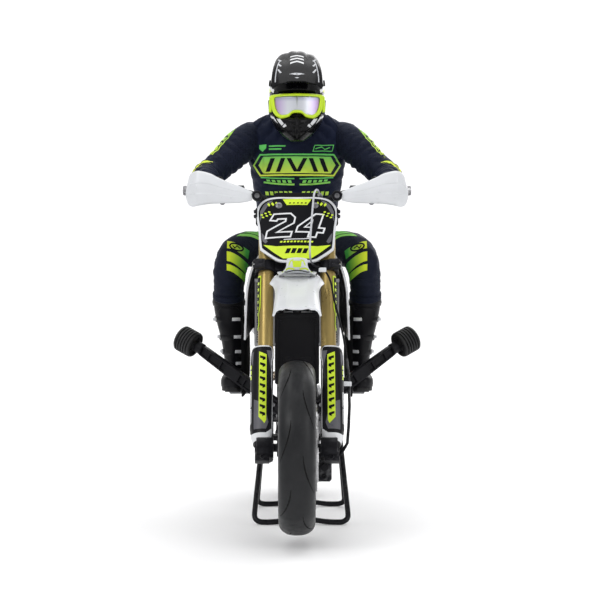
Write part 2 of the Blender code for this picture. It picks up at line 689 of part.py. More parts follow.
# ---- rear end ------------------------------------------------------------------------------------
def swingarm():
    """Two arms on the pivot pin, tied by a brace through the chain's loop that carries the shock."""
    y, z = PIVOT
    pivot = Vector((0, y, z))
    arm = block("swingarm", "black_metal", (-29, 230, 96.5), (29, 241, 108.5), 2, pivot)
    pieces = []
    for side in (1, -1):
        rings = []
        for s, half in ((0, 6), (0.2, 8), (0.6, 7), (0.93, 5.5), (1.06, 5)):
            centre = Vector((side * 28.8, y + (REAR_AXLE.y - y) * s, z + (REAR_AXLE.z - z) * s))
            rings.append(oval(centre, Vector((1, 0, 0)), Vector((0, 0, 1)), 2.9, half, 8, 5))
        bm = bmesh.new()
        skin(bm, rings)
        pieces.append(finish(bm, "arm", "black_metal", pivot))
        pieces.append(rod("eye", "black_metal", (side * 26, y, z), (side * 31.6, y, z), 7.5, 14))
        pieces.append(block("ear", "black_metal", (side * 8 - 1.5, 236, 104),
                            (side * 8 + 1.5, 261, 121), 0.8))
    pieces.append(rod("shock_foot", "black_metal", (-9, *SHOCK_FOOT), (9, *SHOCK_FOOT), 2.3, 10))
    pieces.append(rod("axle", "black_metal", REAR_AXLE - Vector((34, 0, 0)), REAR_AXLE
                      + Vector((34, 0, 0)), 4.2))
    join(arm, *pieces)
    cut(arm, rod("bore", "black_metal", (-40, y, z), (40, y, z), 4.1, 14))
    return arm


def chain_path(front, rear, front_r, rear_r, steps=10):
    """The closed belt line round two sprockets, as (y, z) points."""
    across = math.atan2(rear.z - front.z, rear.y - front.y)
    span = math.hypot(rear.y - front.y, rear.z - front.z)
    lean = math.asin((rear_r - front_r) / span)
    points = []
    for centre, radius, start, end in (
        (rear, rear_r, across + math.pi / 2 + lean, across - math.pi / 2 - lean),
        (front, front_r, across - math.pi / 2 - lean, across - 3 * math.pi / 2 + lean),
    ):
        for i in range(steps + 1):
            angle = start + (end - start) * i / steps
            points.append((centre.y + radius * math.cos(angle), centre.z + radius * math.sin(angle)))
    return points


def drive():
    y, z = PIVOT
    pivot = Vector((0, y, z))
    outer, inner = chain_path(pivot, REAR_AXLE, 11.2, 32.4), chain_path(pivot, REAR_AXLE, 9.1, 30.1)
    bm = bmesh.new()
    rings = [[Vector((x, p, q)) for p, q in line] for x,
             line in ((21.7, outer), (24, outer), (24, inner), (21.7, inner))]
    loops = skin(bm, rings, caps=False)
    for i in range(len(outer)):
        j = (i + 1) % len(outer)
        bm.faces.new((loops[3][i], loops[3][j], loops[0][j], loops[0][i]))
    finish(bm, "chain", "steel", pivot)
    pipe("drive_sprocket", "steel", (21.7, y, z), (24, y, z), 4.1, 8.5, 16, pivot)


def shock():
    top, foot = Vector((0, *SHOCK_TOP)), Vector((0, *SHOCK_FOOT))
    down = (foot - top).normalized()
    body = turned("shock_body", "steel", [(0, 0), (0, 6), (10, 6), (12, 8), (24, 8), (24, 12), (27, 12),
                                          (27, 7), (52, 7), (52, 0)],
                  top, down, 14, top)
    join(body, rod("eye", "steel", top - Vector((5, 0, 0)), top + Vector((5, 0, 0)), 6, 14))
    cut(body, rod("pin_bore", "steel", top - Vector((12, 0, 0)), top + Vector((12, 0, 0)), 3.4, 14),
        rod("rod_bore", "steel", top + down * 20, top + down * 60, 4.0, 14))
    length = (foot - top).length
    shaft = rod("shock_rod", "steel", top + down * 36, foot, 3.5, 12, top)
    seat = rod("seat", "steel", top + down * (length - 13), top + down * (length - 10), 11)
    join(shaft, seat, rod("eye", "steel", foot - Vector((5.5, 0, 0)), foot + Vector((5.5, 0, 0)), 6, 12))
    cut(shaft, rod("foot_bore", "steel", foot - Vector((12, 0, 0)), foot + Vector((12, 0, 0)), 3.0, 12))
    pipe("shock_spring", "yellow_plastic", top + down * 27.6, top + down * (length - 13.6), 8.2, 11.4,
         14, top)


# ---- rider ---------------------------------------------------------------------------------------
def arms():
    """Upper arms that turn in the shoulders and forearms at the elbows, each ending in a ball or a cup."""
    forearms, uppers = [], []

    def build(side_name, side):
        shoulder, elbow, hand = (at_side(side, p) for p in (SHOULDER, ELBOW, HAND))
        along = (elbow - shoulder).normalized()
        length = (elbow - shoulder).length
        upper = sweep(f"upper_arm_{side_name}", "jersey",
                      [shoulder - along * 13, shoulder - along * 9, shoulder, shoulder + along * 20,
                       shoulder + along * (length - 12.5)],
                      [6.5, 12.5, SHOULDER_BALL, 13.5, 12], 12, shoulder)
        cut(upper, turned("cup", "jersey", ball_profile(ELBOW_BALL + 0.8), elbow, along, 14))
        reach = (hand - elbow).normalized()
        fore = turned(f"forearm_{side_name}", "jersey", ball_profile(ELBOW_BALL), elbow, reach, 14, elbow)
        join(fore, sweep("taper", "jersey", [elbow, elbow + reach * 20, elbow + reach * 41],
                         [11, 10.5, 8.2], 12))
        uppers.append(upper)
        forearms.append(fore)

    both(build)
    return uppers, forearms


def ball_profile(radius, steps=6):
    return [(-radius * math.cos(math.pi * i / steps), radius * math.sin(math.pi * i / steps))
            for i in range(steps + 1)]


def rider(seat, tank, wings, panels, frame, pegs, riggers):
    torso = loft("rider_torso", "jersey", [
        (0, 262, 240.6, 24, 20), (0, 258, 256, 29, 23), (0, 245, 285, 34, 23), (0, 233, 311, 40, 24),
                                           (0, 222, 338, 45, 25),
        (0, 213, 358, 47, 24), (0, 209, 374, 49, 20), (0, 207, 384, 46, 15), (0, 205, 390, 33, 12),
        (0, 203, 394, 18, 9)], 16, 2.4)
    for side in (1, -1):
        shoulder, elbow = at_side(side, SHOULDER), at_side(side, ELBOW)
        along = (elbow - shoulder).normalized()
        reach = [shoulder + along * s for s in (-16, -10, 0, 24, 50)]
        cut(torso, sweep("socket", "jersey", reach, [7.8, 14.4, 17.4, 26, 48], 12))
    carve(torso, seat)
    legs, boots = [], []
    for side_name, side in (("left", 1), ("right", -1)):
        path = [(17, 264, 253), (26, 244, 257), (40, 210, 260), (52, 180, 259), (59, 164, 253),
                (63.5, 158, 241), (65, 163, 226),
                (65.5, 170, 213)]
        leg = sweep(f"rider_leg_{side_name}", "jersey", [at_side(side, p) for p in path],
                    [15, 18, 17.5, 16.5, 16, 15.5, 14.5, 13.5], 12)
        shaft = sweep(f"boot_{side_name}", "boot", [at_side(side, p)
                                                    for p in ((65.5, 170.6, 211.6), (64.5, 177, 198),
                                                              (62, 190, 172), (60, 202, 152),
                                                              (60, 208, 138))],
                      [15, 14.5, 12.2, 9.6, 9.5], 12)
        foot_rings = [oval((side * x, y, z), Vector((1, 0, 0)), Vector((0, 0, 1)), a, b, 12, 3)
                      for x, y, z, a, b in ((60, 226, 136, 7, 9), (60, 222, 136, 9, 12),
                                            (60, 205, 136, 10, 12), (60.5, 185, 134.5, 11, 10.5),
                                            (61.5, 165, 133.2, 12, 9.4), (61.5, 152, 133, 11.3, 9),
                                            (61.5, 146, 132.5, 7, 6))]
        bm = bmesh.new()
        skin(bm, foot_rings)
        join(shaft, finish(bm, "foot", "boot"))
        legs.append(leg)
        boots.append(shaft)
        carve(leg, seat, tank, torso, frame, wings[0 if side > 0 else 1], panels[0 if side > 0 else 1])
        carve(shaft, pegs, riggers[0 if side > 0 else 1])
    return torso, legs, boots


def headgear(torso):
    helmet = loft("helmet", "helmet_shell", [
        (0, 160, 362, 7, 10), (0, 165, 370, 16, 22), (0, 172, 379, 22.5, 30), (0, 179, 391, 26, 34),
                                             (0, 185, 404, 27, 35),
        (0, 189, 420, 26.5, 34), (0, 191, 432, 23, 30), (0, 192, 441, 16, 22), (0, 192, 446, 7, 10)],
                  16, 2.2)
    port = block("port", "helmet_shell", (-25.5, 130, 382.5), (25.5, 160, 409), 3)
    cut(helmet, port)
    carve(torso, helmet)
    rows = []
    for z in (384, 392, 400, 407.5):
        rows.append([(25 * s, 146 + 11 * s * s, z + (5 * (1 - abs(s) * 1.6) if z == 384 and abs(s) < 0.6
                                                     else 0)) for s in
                     (-1, -0.8, -0.5, -0.2, 0, 0.2, 0.5, 0.8, 1)])
    goggles = shell("goggles", "yellow_plastic", rows, 4.5)
    carve(goggles, helmet)
    spine = [(188, 449.5, 16), (170, 447.5, 20.5), (152, 436, 24.5), (140, 424, 26), (133, 415.5, 25)]
    rows = [[(half * a, y + 5 * a * a, z - drop) for a,
             drop in ((-1, 9), (-0.85, 4.5), (-0.5, 1), (0, 0), (0.5, 1), (0.85, 4.5), (1, 9))]
            for y, z, half in spine]
    visor = shell("helmet_visor", "helmet_shell", rows, 1.8)
    carve(helmet, visor)
    return helmet


# ---- stand ---------------------------------------------------------------------------------------
def stand(skid):
    """Two bent-wire legs that splay fore and aft, under a top plate that the skid plate rests on."""
    plate = block("stand", "black_metal", (STAND_X - 37, 176, 74.6), (STAND_X + 37, 208, 79.0), 1)
    loops = []
    for top_y, foot_y in ((181, 130), (203, 269)):
        half = [(0, 1.0, 6.8), (24, 1.0, 2.6), (44.6, 1.0, 2.6), (37.5, 0, 76.5)]
        line = [(-x, share, z) for x, share, z in reversed(half[1:])] + half
        corners = [Vector((STAND_X + x, top_y + (foot_y - top_y) * share, z)) for x, share, z in line]
        points = rounded(corners, 11)
        loops.append(sweep("loop", "black_metal", points, 2.55, 8))
    return join(plate, *loops)


# ---- assembly ------------------------------------------------------------------------------------
def build():
    for old in list(bpy.data.objects):
        bpy.data.objects.remove(old)
    front_wheel()
    rear_wheel()
    tubes = fork_tubes()
    triple_clamps()
    legs = fork_legs(tubes)
    fork_guards(legs)
    brake_caliper()
    bar = handlebar()
    gloves(bar)
    number_plate()
    front_fender()
    handguards()
    brake_hose()
    frame = main_frame()
    power_unit(frame)
    electronics(frame)
    radiators = radiator_pack(frame)
    wings = shrouds(frame, radiators)
    tank, seat = tank_and_seat(frame, wings)
    fender, panels = tail(frame, seat)
    exhaust(frame, panels)
    pegs = footpegs(frame)
    skid = skid_plate(frame)
    riggers = outriggers(frame, skid)
    rollers()
    swingarm()
    drive()
    shock()
    arms()
    torso, _, _ = rider(seat, tank, wings, panels, frame, pegs, riggers)
    headgear(torso)
    stand(skid)


build()
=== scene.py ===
"""Looks for the quarter-scale radio-controlled supermoto: shown pieces, materials, lights and camera.

Sizes are in millimetres in the bike's own layout, as the CAD source states them: x to the rider's left,
y back from the front axle, z up from the floor. row() turns them into the frame's metres.
"""

import math

import bmesh
import bpy
from mathutils import Matrix, Vector, noise
from mathutils.bvhtree import BVHTree


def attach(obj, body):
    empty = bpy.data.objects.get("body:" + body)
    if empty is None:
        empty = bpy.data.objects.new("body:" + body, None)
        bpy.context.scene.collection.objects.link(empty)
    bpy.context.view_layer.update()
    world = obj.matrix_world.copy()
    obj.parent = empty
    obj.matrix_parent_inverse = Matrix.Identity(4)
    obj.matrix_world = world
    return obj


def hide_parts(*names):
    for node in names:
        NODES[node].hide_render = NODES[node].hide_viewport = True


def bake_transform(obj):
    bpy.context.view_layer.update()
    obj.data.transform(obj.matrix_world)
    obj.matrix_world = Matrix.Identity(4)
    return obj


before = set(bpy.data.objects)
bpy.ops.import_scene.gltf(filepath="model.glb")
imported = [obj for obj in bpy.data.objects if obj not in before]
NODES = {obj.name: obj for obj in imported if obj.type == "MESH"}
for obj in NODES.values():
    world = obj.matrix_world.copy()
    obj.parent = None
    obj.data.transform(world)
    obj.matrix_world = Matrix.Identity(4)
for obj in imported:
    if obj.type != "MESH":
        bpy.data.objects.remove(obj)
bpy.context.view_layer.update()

MM = 0.001
MIDDLE_Y = 190.6
RAKE = math.radians(26)
FRONT_AXLE, REAR_AXLE = Vector((0, 0, 84)), Vector((0, 370, 85.5))
TRAIL = 13
FORK = Matrix.Translation(FRONT_AXLE + TRAIL * Vector((0, math.cos(RAKE), -math.sin(RAKE))))
FORK = FORK @ Matrix.Rotation(-RAKE, 4, "X")
FORK_HALF, FORK_OFFSET, FORK_TUBE_R = 28.0, 6.5, 7.25
SHOULDER, ELBOW, HAND = Vector((48, 208, 371)), Vector((91, 184, 334)), Vector((80, 126, 312))
ROLLER = Vector((103.5, 163, 170.5))
ROLLER_AXIS = Vector((0.807, 0.407, 0.429)).normalized()
X, Y, Z = Vector((1, 0, 0)), Vector((0, 1, 0)), Vector((0, 0, 1))
SIDES = {1: "left", -1: "right"}
BEVEL_ANGLE = math.radians(35)


# ---- shape helpers -------------------------------------------------------------------------------
def row(point):
    """From the bike's millimetres to the frame's metres."""
    x, y, z = point
    return Vector((x, y - MIDDLE_Y, z)) * MM


def unrow(point):
    """From the frame's metres back to the bike's millimetres."""
    return Vector((point.x / MM, point.y / MM + MIDDLE_Y, point.z / MM))


def in_fork(x, y, t):
    """A point of the raked fork: y back from the steering axis, t along it."""
    return FORK @ Vector((x, y, t))


def fork_way(x, y, t):
    """A direction of the raked fork."""
    return in_fork(x, y, t) - in_fork(0, 0, 0)


def mirror(side, point):
    """A point given for the left, on the side asked for."""
    x, y, z = point
    return Vector((side * x, y, z))


def turns(count, shift=0.0):
    """Angles spread evenly round a full turn."""
    return [2 * math.pi * (i + shift) / count for i in range(count)]


def mirrored(half):
    """Shares across a piece from -1 to 1, from those above 0."""
    return [-s for s in reversed(half)] + [0] + list(half)


def flatten(value, power):
    """A cosine or sine squared off, as a superellipse has it."""
    return math.copysign(abs(value) ** power, value)


def add(bm, name, mat):
    """A bmesh in millimetres becomes a named object in the frame's metres."""
    for vert in bm.verts:
        vert.co = row(vert.co)
    mesh = bpy.data.meshes.new(name)
    bm.to_mesh(mesh)
    bm.free()
    mesh.materials.append(mat)
    made = bpy.data.objects.new(name, mesh)
    bpy.context.scene.collection.objects.link(made)
    return made


def keep(bm, name, mat, smooth=40, bevel=0.0, segments=2):
    """An object from a bmesh, its edges bevelled and its shading sharp past an angle; names are used once."""
    bmesh.ops.recalc_face_normals(bm, faces=bm.faces)
    if name in bpy.data.objects:
        name += "_skin"
    made = add(bm, name, mat)
    if bevel:
        mod = made.modifiers.new("bevel", "BEVEL")
        mod.width, mod.segments = bevel * MM, segments
        mod.limit_method, mod.angle_limit = "ANGLE", BEVEL_ANGLE
    bake(made)
    shade(made, smooth)
    return made


def shade(made, smooth=40):
    """Smooth shading, but sharp where faces meet at more than the given degrees."""
    made.data.shade_smooth()
    if smooth < 180:
        made.data.set_sharp_from_angle(angle=math.radians(smooth))


def bake(made):
    """Applies an object's modifiers."""
    if made.modifiers:
        bpy.context.view_layer.update()
        solved = bpy.data.meshes.new_from_object(made.evaluated_get(bpy.context.evaluated_depsgraph_get()))
        made.modifiers.clear()
        made.data = solved


def join_rings(bm, near, far, closed=True):
    """Faces between two rings of vertices."""
    count = len(near)
    for i in range(count if closed else count - 1):
        j = (i + 1) % count
        bm.faces.new((near[i], near[j], far[j], far[i]))


def skin(bm, rings, caps=True, closed=True):
    """A body through rings of points."""
    loops = [[bm.verts.new(p) for p in ring] for ring in rings]
    for near, far in zip(loops, loops[1:]):
        join_rings(bm, near, far, closed)
    if caps and closed:
        bm.faces.new(list(reversed(loops[0])))
        bm.faces.new(loops[-1])
    return loops


def oval(centre, side, up, a, b, count, power=2.0):
    """A ring of points, round at power 2 and squarer above it."""
    ring = []
    for angle in turns(count, 0.5):
        across = side * flatten(math.cos(angle), 2 / power) * a
        ring.append(Vector(centre) + across + up * flatten(math.sin(angle), 2 / power) * b)
    return ring


def smooth_line(points, steps=6):
    """A Catmull-Rom curve through tuples of any length."""
    points = [tuple(p) for p in points]
    padded = [points[0]] + points + [points[-1]]
    made = []
    for p0, p1, p2, p3 in zip(padded, padded[1:], padded[2:], padded[3:]):
        for i in range(steps):
            s = i / steps
            made.append(tuple(0.5 * (2 * b + (c - a) * s + (2 * a - 5 * b + 4 * c - d) * s * s
                                     + (3 * b - a - 3 * c + d) * s ** 3) for a, b, c,
                              d in zip(p0, p1, p2, p3)))
    return made + [points[-1]]


def round_corners(path, radius, steps=6):
    """A path of straight stretches with its corners turned into curves."""
    points = [Vector(p) for p in path]
    made = [points[0]]
    for before, corner, after in zip(points, points[1:], points[2:]):
        back, ahead = before - corner, after - corner
        reach = min(radius, back.length * 0.45, ahead.length * 0.45)
        start, end = corner + back.normalized() * reach, corner + ahead.normalized() * reach
        for i in range(steps + 1):
            s = i / steps
            made.append(start * (1 - s) ** 2 + corner * 2 * s * (1 - s) + end * s * s)
    return made + [points[-1]]


def sweep_into(bm, path, radii, sides=16, flat=1.0, side_hint=None):
    """A tube along a path, with one radius or one for each point."""
    points = [Vector(p) for p in path]
    radii = radii if isinstance(radii, (list, tuple)) else [radii] * len(points)
    tangents = []
    for i, p in enumerate(points):
        before = (p - points[i - 1]).normalized() if i else Vector()
        after = (points[i + 1] - p).normalized() if i + 1 < len(points) else Vector()
        tangents.append((before + after).normalized())
    side = (side_hint or tangents[0].orthogonal()).normalized()
    rings = []
    for p, t, r in zip(points, tangents, radii):
        side = (side - t * side.dot(t)).normalized()
        rings.append(oval(p, side, t.cross(side), r, r * flat, sides))
    skin(bm, rings)


def spin_into(bm, profile, centre, axis, segments=48):
    """Turns (along, radius) points round an axis; radius 0 is a pole. Without poles the profile is closed."""
    axis = Vector(axis).normalized()
    side = axis.orthogonal().normalized()
    other = axis.cross(side)
    rings = []
    for along, radius in profile:
        middle = Vector(centre) + axis * along
        outward = [Vector()] if radius <= 1e-6 else [
            (side * math.cos(a) + other * math.sin(a)) * radius for a in turns(segments)]
        rings.append([bm.verts.new(middle + out) for out in outward])
    pairs = list(zip(rings, rings[1:]))
    if len(rings[0]) > 1 and len(rings[-1]) > 1:
        pairs.append((rings[-1], rings[0]))
    for near, far in pairs:
        if len(near) == len(far) == 1:
            continue
        if len(near) == len(far):
            join_rings(bm, near, far)
            continue
        for i in range(segments):
            j = (i + 1) % segments
            corners = (near[0], far[j], far[i]) if len(near) == 1 else (near[i], near[j], far[0])
            bm.faces.new(corners)


def spun(name, mat, profile, centre, axis, segments=48, **more):
    """A turned body as an object."""
    bm = bmesh.new()
    spin_into(bm, profile, centre, axis, segments)
    return keep(bm, name, mat, **more)


def rod_into(bm, start, end, radius, sides=16, chamfer=0.3):
    """A round bar with chamfered ends."""
    start, end = Vector(start), Vector(end)
    length = (end - start).length
    spin_into(bm, [(0, 0), (0, radius - chamfer), (chamfer, radius), (length - chamfer, radius),
                   (length, radius - chamfer), (length, 0)], start, end - start, sides)


def box_into(bm, centre, half, turn=None):
    """A block by its half sizes, turned by a matrix if one is given."""
    turned = turn.to_4x4() if turn else Matrix()
    size = Matrix.Diagonal((*[2 * h for h in half], 1))
    bmesh.ops.create_cube(bm, size=1, matrix=Matrix.Translation(Vector(centre)) @ turned @ size)


def bolt_into(bm, at, axis, radius=2.0, height=1.2):
    """A socket-head screw."""
    spin_into(bm, [(0, 0), (0, radius), (height * 0.8, radius), (height, radius * 0.85),
                   (height, radius * 0.5),
                   (height * 0.35, radius * 0.45), (height * 0.35, 0)], at, axis, 12)


def sheet_into(bm, rows, thickness):
    """A closed sheet through rows of points, thickened along its normals."""
    tall, wide = len(rows), len(rows[0])
    grid = [[Vector(p) for p in line] for line in rows]
    normals = []
    for i in range(tall):
        for j in range(wide):
            along = grid[min(i + 1, tall - 1)][j] - grid[max(i - 1, 0)][j]
            across = grid[i][min(j + 1, wide - 1)] - grid[i][max(j - 1, 0)]
            normals.append(along.cross(across).normalized() * thickness / 2)
    faces = []
    for sign in (1, -1):
        verts = [bm.verts.new(p + n * sign) for p, n in zip(sum(grid, []), normals)]
        faces.append([verts[i * wide:(i + 1) * wide] for i in range(tall)])
    top, low = faces
    for i in range(tall - 1):
        for j in range(wide - 1):
            bm.faces.new((top[i][j], top[i][j + 1], top[i + 1][j + 1], top[i + 1][j]))
            bm.faces.new((low[i][j], low[i + 1][j], low[i + 1][j + 1], low[i][j + 1]))
    for j in range(wide - 1):
        bm.faces.new((top[0][j], low[0][j], low[0][j + 1], top[0][j + 1]))
        bm.faces.new((top[-1][j], top[-1][j + 1], low[-1][j + 1], low[-1][j]))
    for i in range(tall - 1):
        bm.faces.new((top[i][0], top[i + 1][0], low[i + 1][0], low[i][0]))
        bm.faces.new((top[i][-1], low[i][-1], low[i + 1][-1], top[i + 1][-1]))


def sheet(name, mat, rows, thickness, steps=5, cross=4, **more):
    """A sheet whose rows and columns are smoothed before it is thickened."""
    across = [smooth_line(line, cross) for line in rows]
    columns = [smooth_line(column, steps) for column in zip(*across)]
    bm = bmesh.new()
    sheet_into(bm, list(zip(*columns)), thickness)
    return keep(bm, name, mat, **more)


def lofted(name, mat, sections, count, power, steps, up=Y):
    """A closed body on the middle plane through (y, z, half width, half depth) sections."""
    bm = bmesh.new()
    rings = [oval((0, y, z), X, up, a, b, count, power) for y, z, a, b in smooth_line(sections, steps)]
    skin(bm, rings)
    return keep(bm, name, mat)


def wear(made, body, slot, *nodes):
    """The piece rides on a body and stands for CAD nodes; slot is not used."""
    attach(made, body)
    if nodes:
        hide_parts(*nodes)
    return made


def extend(made, grow):
    """Adds more geometry in millimetres, made by grow(bm), to a finished object."""
    bm = bmesh.new()
    grow(bm)
    bmesh.ops.recalc_face_normals(bm, faces=bm.faces)
    for vert in bm.verts:
        vert.co = row(vert.co)
    extra = bpy.data.meshes.new("extra")
    bm.to_mesh(extra)
    bm.free()
    whole = bmesh.new()
    whole.from_mesh(made.data)
    whole.from_mesh(extra)
    whole.to_mesh(made.data)
    whole.free()
    bpy.data.meshes.remove(extra)
    shade(made)


# ---- decals: thin printed shapes that follow a surface -------------------------------------------
def fill(outline, cell=1.5):
    """A flat outline of (u, v) points as small faces: vertices and faces of a grid cut to the outline."""
    bm = bmesh.new()
    face = bm.faces.new([bm.verts.new((u, v, 0)) for u, v in outline])
    bmesh.ops.triangulate(bm, faces=[face])
    us, vs = [p[0] for p in outline], [p[1] for p in outline]
    for low, high, axis in ((min(us), max(us), 0), (min(vs), max(vs), 1)):
        steps = max(1, int((high - low) / cell))
        for i in range(1, steps):
            spot, normal = Vector((0, 0, 0)), Vector((0, 0, 0))
            spot[axis], normal[axis] = low + (high - low) * i / steps, 1
            bmesh.ops.bisect_plane(bm, geom=bm.verts[:] + bm.edges[:] + bm.faces[:], plane_co=spot,
                                   plane_no=normal)
    return bm


def decal(name, mat, outlines, place, cell=1.5):
    """Printed shapes put on a surface by place(u, v), which gives a point, or None off the surface."""
    whole = bmesh.new()
    for outline in outlines:
        bm = fill(outline, cell)
        copies = {}
        for vert in bm.verts:
            spot = place(vert.co.x, vert.co.y)
            if spot is not None:
                copies[vert] = whole.verts.new(spot)
        for face in bm.faces:
            if all(v in copies for v in face.verts):
                whole.faces.new([copies[v] for v in face.verts])
        bm.free()
    made = add(whole, name, mat)
    made.data.shade_smooth()
    return made


def caster(target, triangles):
    """An object's surface for casting rays at, in the bike's millimetres."""
    bm = bmesh.new()
    bm.from_mesh(target.data)
    for vert in bm.verts:
        vert.co = unrow(vert.co)
    if triangles:
        bmesh.ops.triangulate(bm, faces=bm.faces[:])
    tree = BVHTree.FromBMesh(bm)
    bm.free()
    return tree


def ray_place(target, direction, origin, u_axis, v_axis, lift, reach=150.0):
    """place(u, v) for decal(): casts along direction from origin + u*u_axis + v*v_axis on to an object."""
    tree = caster(target, True)
    direction = Vector(direction).normalized()

    def place(u, v):
        start = Vector(origin) + Vector(u_axis) * u + Vector(v_axis) * v
        spot, normal, _, _ = tree.ray_cast(start, direction, reach)
        if spot is None:
            return None
        return spot + (-normal if normal.dot(direction) > 0 else normal) * lift

    return place


def from_front(target, lift, across=X):
    """Casts from ahead; u is x, or -x where across points right, and v is z."""
    return ray_place(target, Y, (0, 100, 0), across, Z, lift)


def from_side(target, side, lift, away=120):
    """Casts from one side; u is y and v is z."""
    return ray_place(target, (-side, 0, 0), (side * away, 0, 0), Y, Z, lift)


def from_above(target, lift):
    """Casts from above; u is x and v is y."""
    return ray_place(target, (0, 0, -1), (0, 0, 300), X, Y, lift)


def stick(name, mat, shapes, place, cell, body, slot):
    """A decal that rides on a body."""
    wear(decal(name, mat, shapes, place, cell), body, slot)


def stroke(points, width, closed=False):
    """The outlines of a line of that width along (u, v) points, one four-sided piece for each stretch."""
    points = [Vector((u, v)) for u, v in points]
    count = len(points)
    stretches = count if closed else count - 1
    offsets = []
    for i in range(count):
        before = points[i] - points[i - 1] if (i or closed) else points[1] - points[0]
        after = points[(i + 1) % count] - points[i] if (i < count - 1 or closed) else before
        a, b = before.normalized(), after.normalized()
        normal = Vector((-(a.y + b.y), a.x + b.x))
        if normal.length < 1e-6:
            normal = Vector((-a.y, a.x))
        normal.normalize()
        share = max(0.35, normal.dot(Vector((-a.y, a.x))))
        offsets.append(normal * (width / 2 / share))
    made = []
    for i in range(stretches):
        j = (i + 1) % count
        corners = (points[i] + offsets[i], points[j] + offsets[j], points[j] - offsets[j], points[i]
                   - offsets[i])
        made.append([tuple(corner) for corner in corners])
    return made


# ---- materials -----------------------------------------------------------------------------------
class Maker:
    """A short way to build a material's nodes."""

    def __init__(self, name):
        self.material = bpy.data.materials.new(name)
        self.material.use_nodes = True
        self.nodes, self.links = self.material.node_tree.nodes, self.material.node_tree.links
        self.shader = self.nodes["Principled BSDF"]
        self.place = self.nodes.new("ShaderNodeTexCoord").outputs["Object"]

    def plug(self, socket, value):
        """Links a node's output to a socket, or sets the socket; a colour gets its alpha here."""
        if isinstance(value, bpy.types.NodeSocket):
            self.links.new(value, socket)
        else:
            socket.default_value = (*value, 1) if isinstance(value, tuple) else value

    def node(self, kind, settings=None, **sockets):
        """A node with its settings and its named sockets filled in."""
        made = self.nodes.new(kind)
        for key, value in (settings or {}).items():
            setattr(made, key, value)
        for key, value in sockets.items():
            self.plug(made.inputs[key.replace("_", " ")], value)
        return made

    def noise(self, scale, detail=3, roughness=0.55):
        """Cloudy values over the surface."""
        return self.node("ShaderNodeTexNoise", Vector=self.place, Scale=scale, Detail=detail,
                         Roughness=roughness).outputs["Fac"]

    def cloudy(self, scale, detail, to_low=0.0, to_high=1.0):
        """Noise stretched from the values it mostly has to a range."""
        return self.span(self.noise(scale, detail), 0.3, 0.7, to_low, to_high)

    def along(self, axis):
        """The place along a row axis, in metres."""
        return self.node("ShaderNodeSeparateXYZ", Vector=self.place).outputs[axis]

    def math(self, operation, *values):
        """A sum, product or the like."""
        made = self.node("ShaderNodeMath", {"operation": operation})
        for socket, value in zip(made.inputs, values):
            self.plug(socket, value)
        return made.outputs[0]

    def span(self, value, low, high, to_low=0.0, to_high=1.0):
        """Values from low to high moved to another range."""
        made = self.node("ShaderNodeMapRange", Value=value)
        for socket, number in zip(made.inputs[1:5], (low, high, to_low, to_high)):
            socket.default_value = number
        return made.outputs[0]

    def blend(self, factor, a, b):
        """Two colours mixed by a factor."""
        made = self.node("ShaderNodeMix", {"data_type": "RGBA"})
        for index, value in ((0, factor), (6, a), (7, b)):
            self.plug(made.inputs[index], value)
        return made.outputs[2]

    def set(self, **values):
        """Fills in the shader's sockets."""
        for key, value in values.items():
            self.plug(self.shader.inputs[key.replace("_", " ")], value)

    def bump(self, height, strength, distance):
        """A fine relief, its depth in millimetres."""
        made = self.node("ShaderNodeBump", Height=height, Strength=strength, Distance=distance * MM)
        self.links.new(made.outputs[0], self.shader.inputs["Normal"])
        return self


def tone(colour, factor):
    """A colour made darker or lighter."""
    return tuple(min(1.0, c * factor) for c in colour)


def dusty(colour, grey, factor):
    """A colour with some grey added, then made lighter."""
    return tone(tuple(c + grey for c in colour), factor)


def gloss(colour, pale):
    """How strongly a surface mirrors: little for near-black ones, the given strength for pale ones."""
    return 0.12 if max(colour) < 0.1 else pale


def moulded(name, colour, rough=0.42, metal=0.0, cloud=45, grain=1500, bump=0.12, spread=0.22, coat=0.0,
            rubbed=0.0):
    """Moulded plastic or finished metal: slight clouding, fine grain, uneven gloss, paler rubbed edges."""
    m = Maker(name)
    base = m.blend(m.cloudy(cloud, 4), tone(colour, 1 - spread), tone(colour, 1 + spread * 0.6))
    if rubbed:
        edges = m.span(m.node("ShaderNodeNewGeometry").outputs["Pointiness"], 0.53, 0.62, 0.0, rubbed)
        worn = m.math("MULTIPLY", edges, m.span(m.noise(240, 2), 0.4, 0.65))
        base = m.blend(worn, base, dusty(colour, 0.12, 1.6))
    m.set(Base_Color=base, Metallic=metal, Roughness=m.cloudy(cloud * 4, 3, rough - 0.07, rough + 0.1),
          Coat_Weight=coat, Coat_Roughness=0.12, Specular_IOR_Level=gloss(colour, 0.45))
    return m.bump(m.noise(grain, 2), bump, 0.12).material


def printed(name, colour, rough=0.35, second=None, low=0.0, high=1.0, axis="Z", fabric=False):
    """A printed colour, or a gradient between two along a row axis; on cloth the weave shows through it."""
    m = Maker(name)
    if second:
        base = m.blend(m.span(m.along(axis), low, high), colour, second)
    else:
        base = m.blend(m.cloudy(90, 3), tone(colour, 0.93), tone(colour, 1.05))
    if fabric:
        threads = thread_height(m)
        base = m.blend(m.span(threads, 0.0, 1.0, 0.0, 0.28), base, tone(colour, 0.35))
        m.bump(threads, 0.35, 0.12)
        m.set(Sheen_Weight=0.03)
    else:
        m.bump(m.noise(700, 2), 0.05, 0.05)
    m.set(Base_Color=base, Roughness=m.cloudy(160, 2, rough - 0.06, rough + 0.08),
          Specular_IOR_Level=gloss(colour, 0.35))
    return m.material


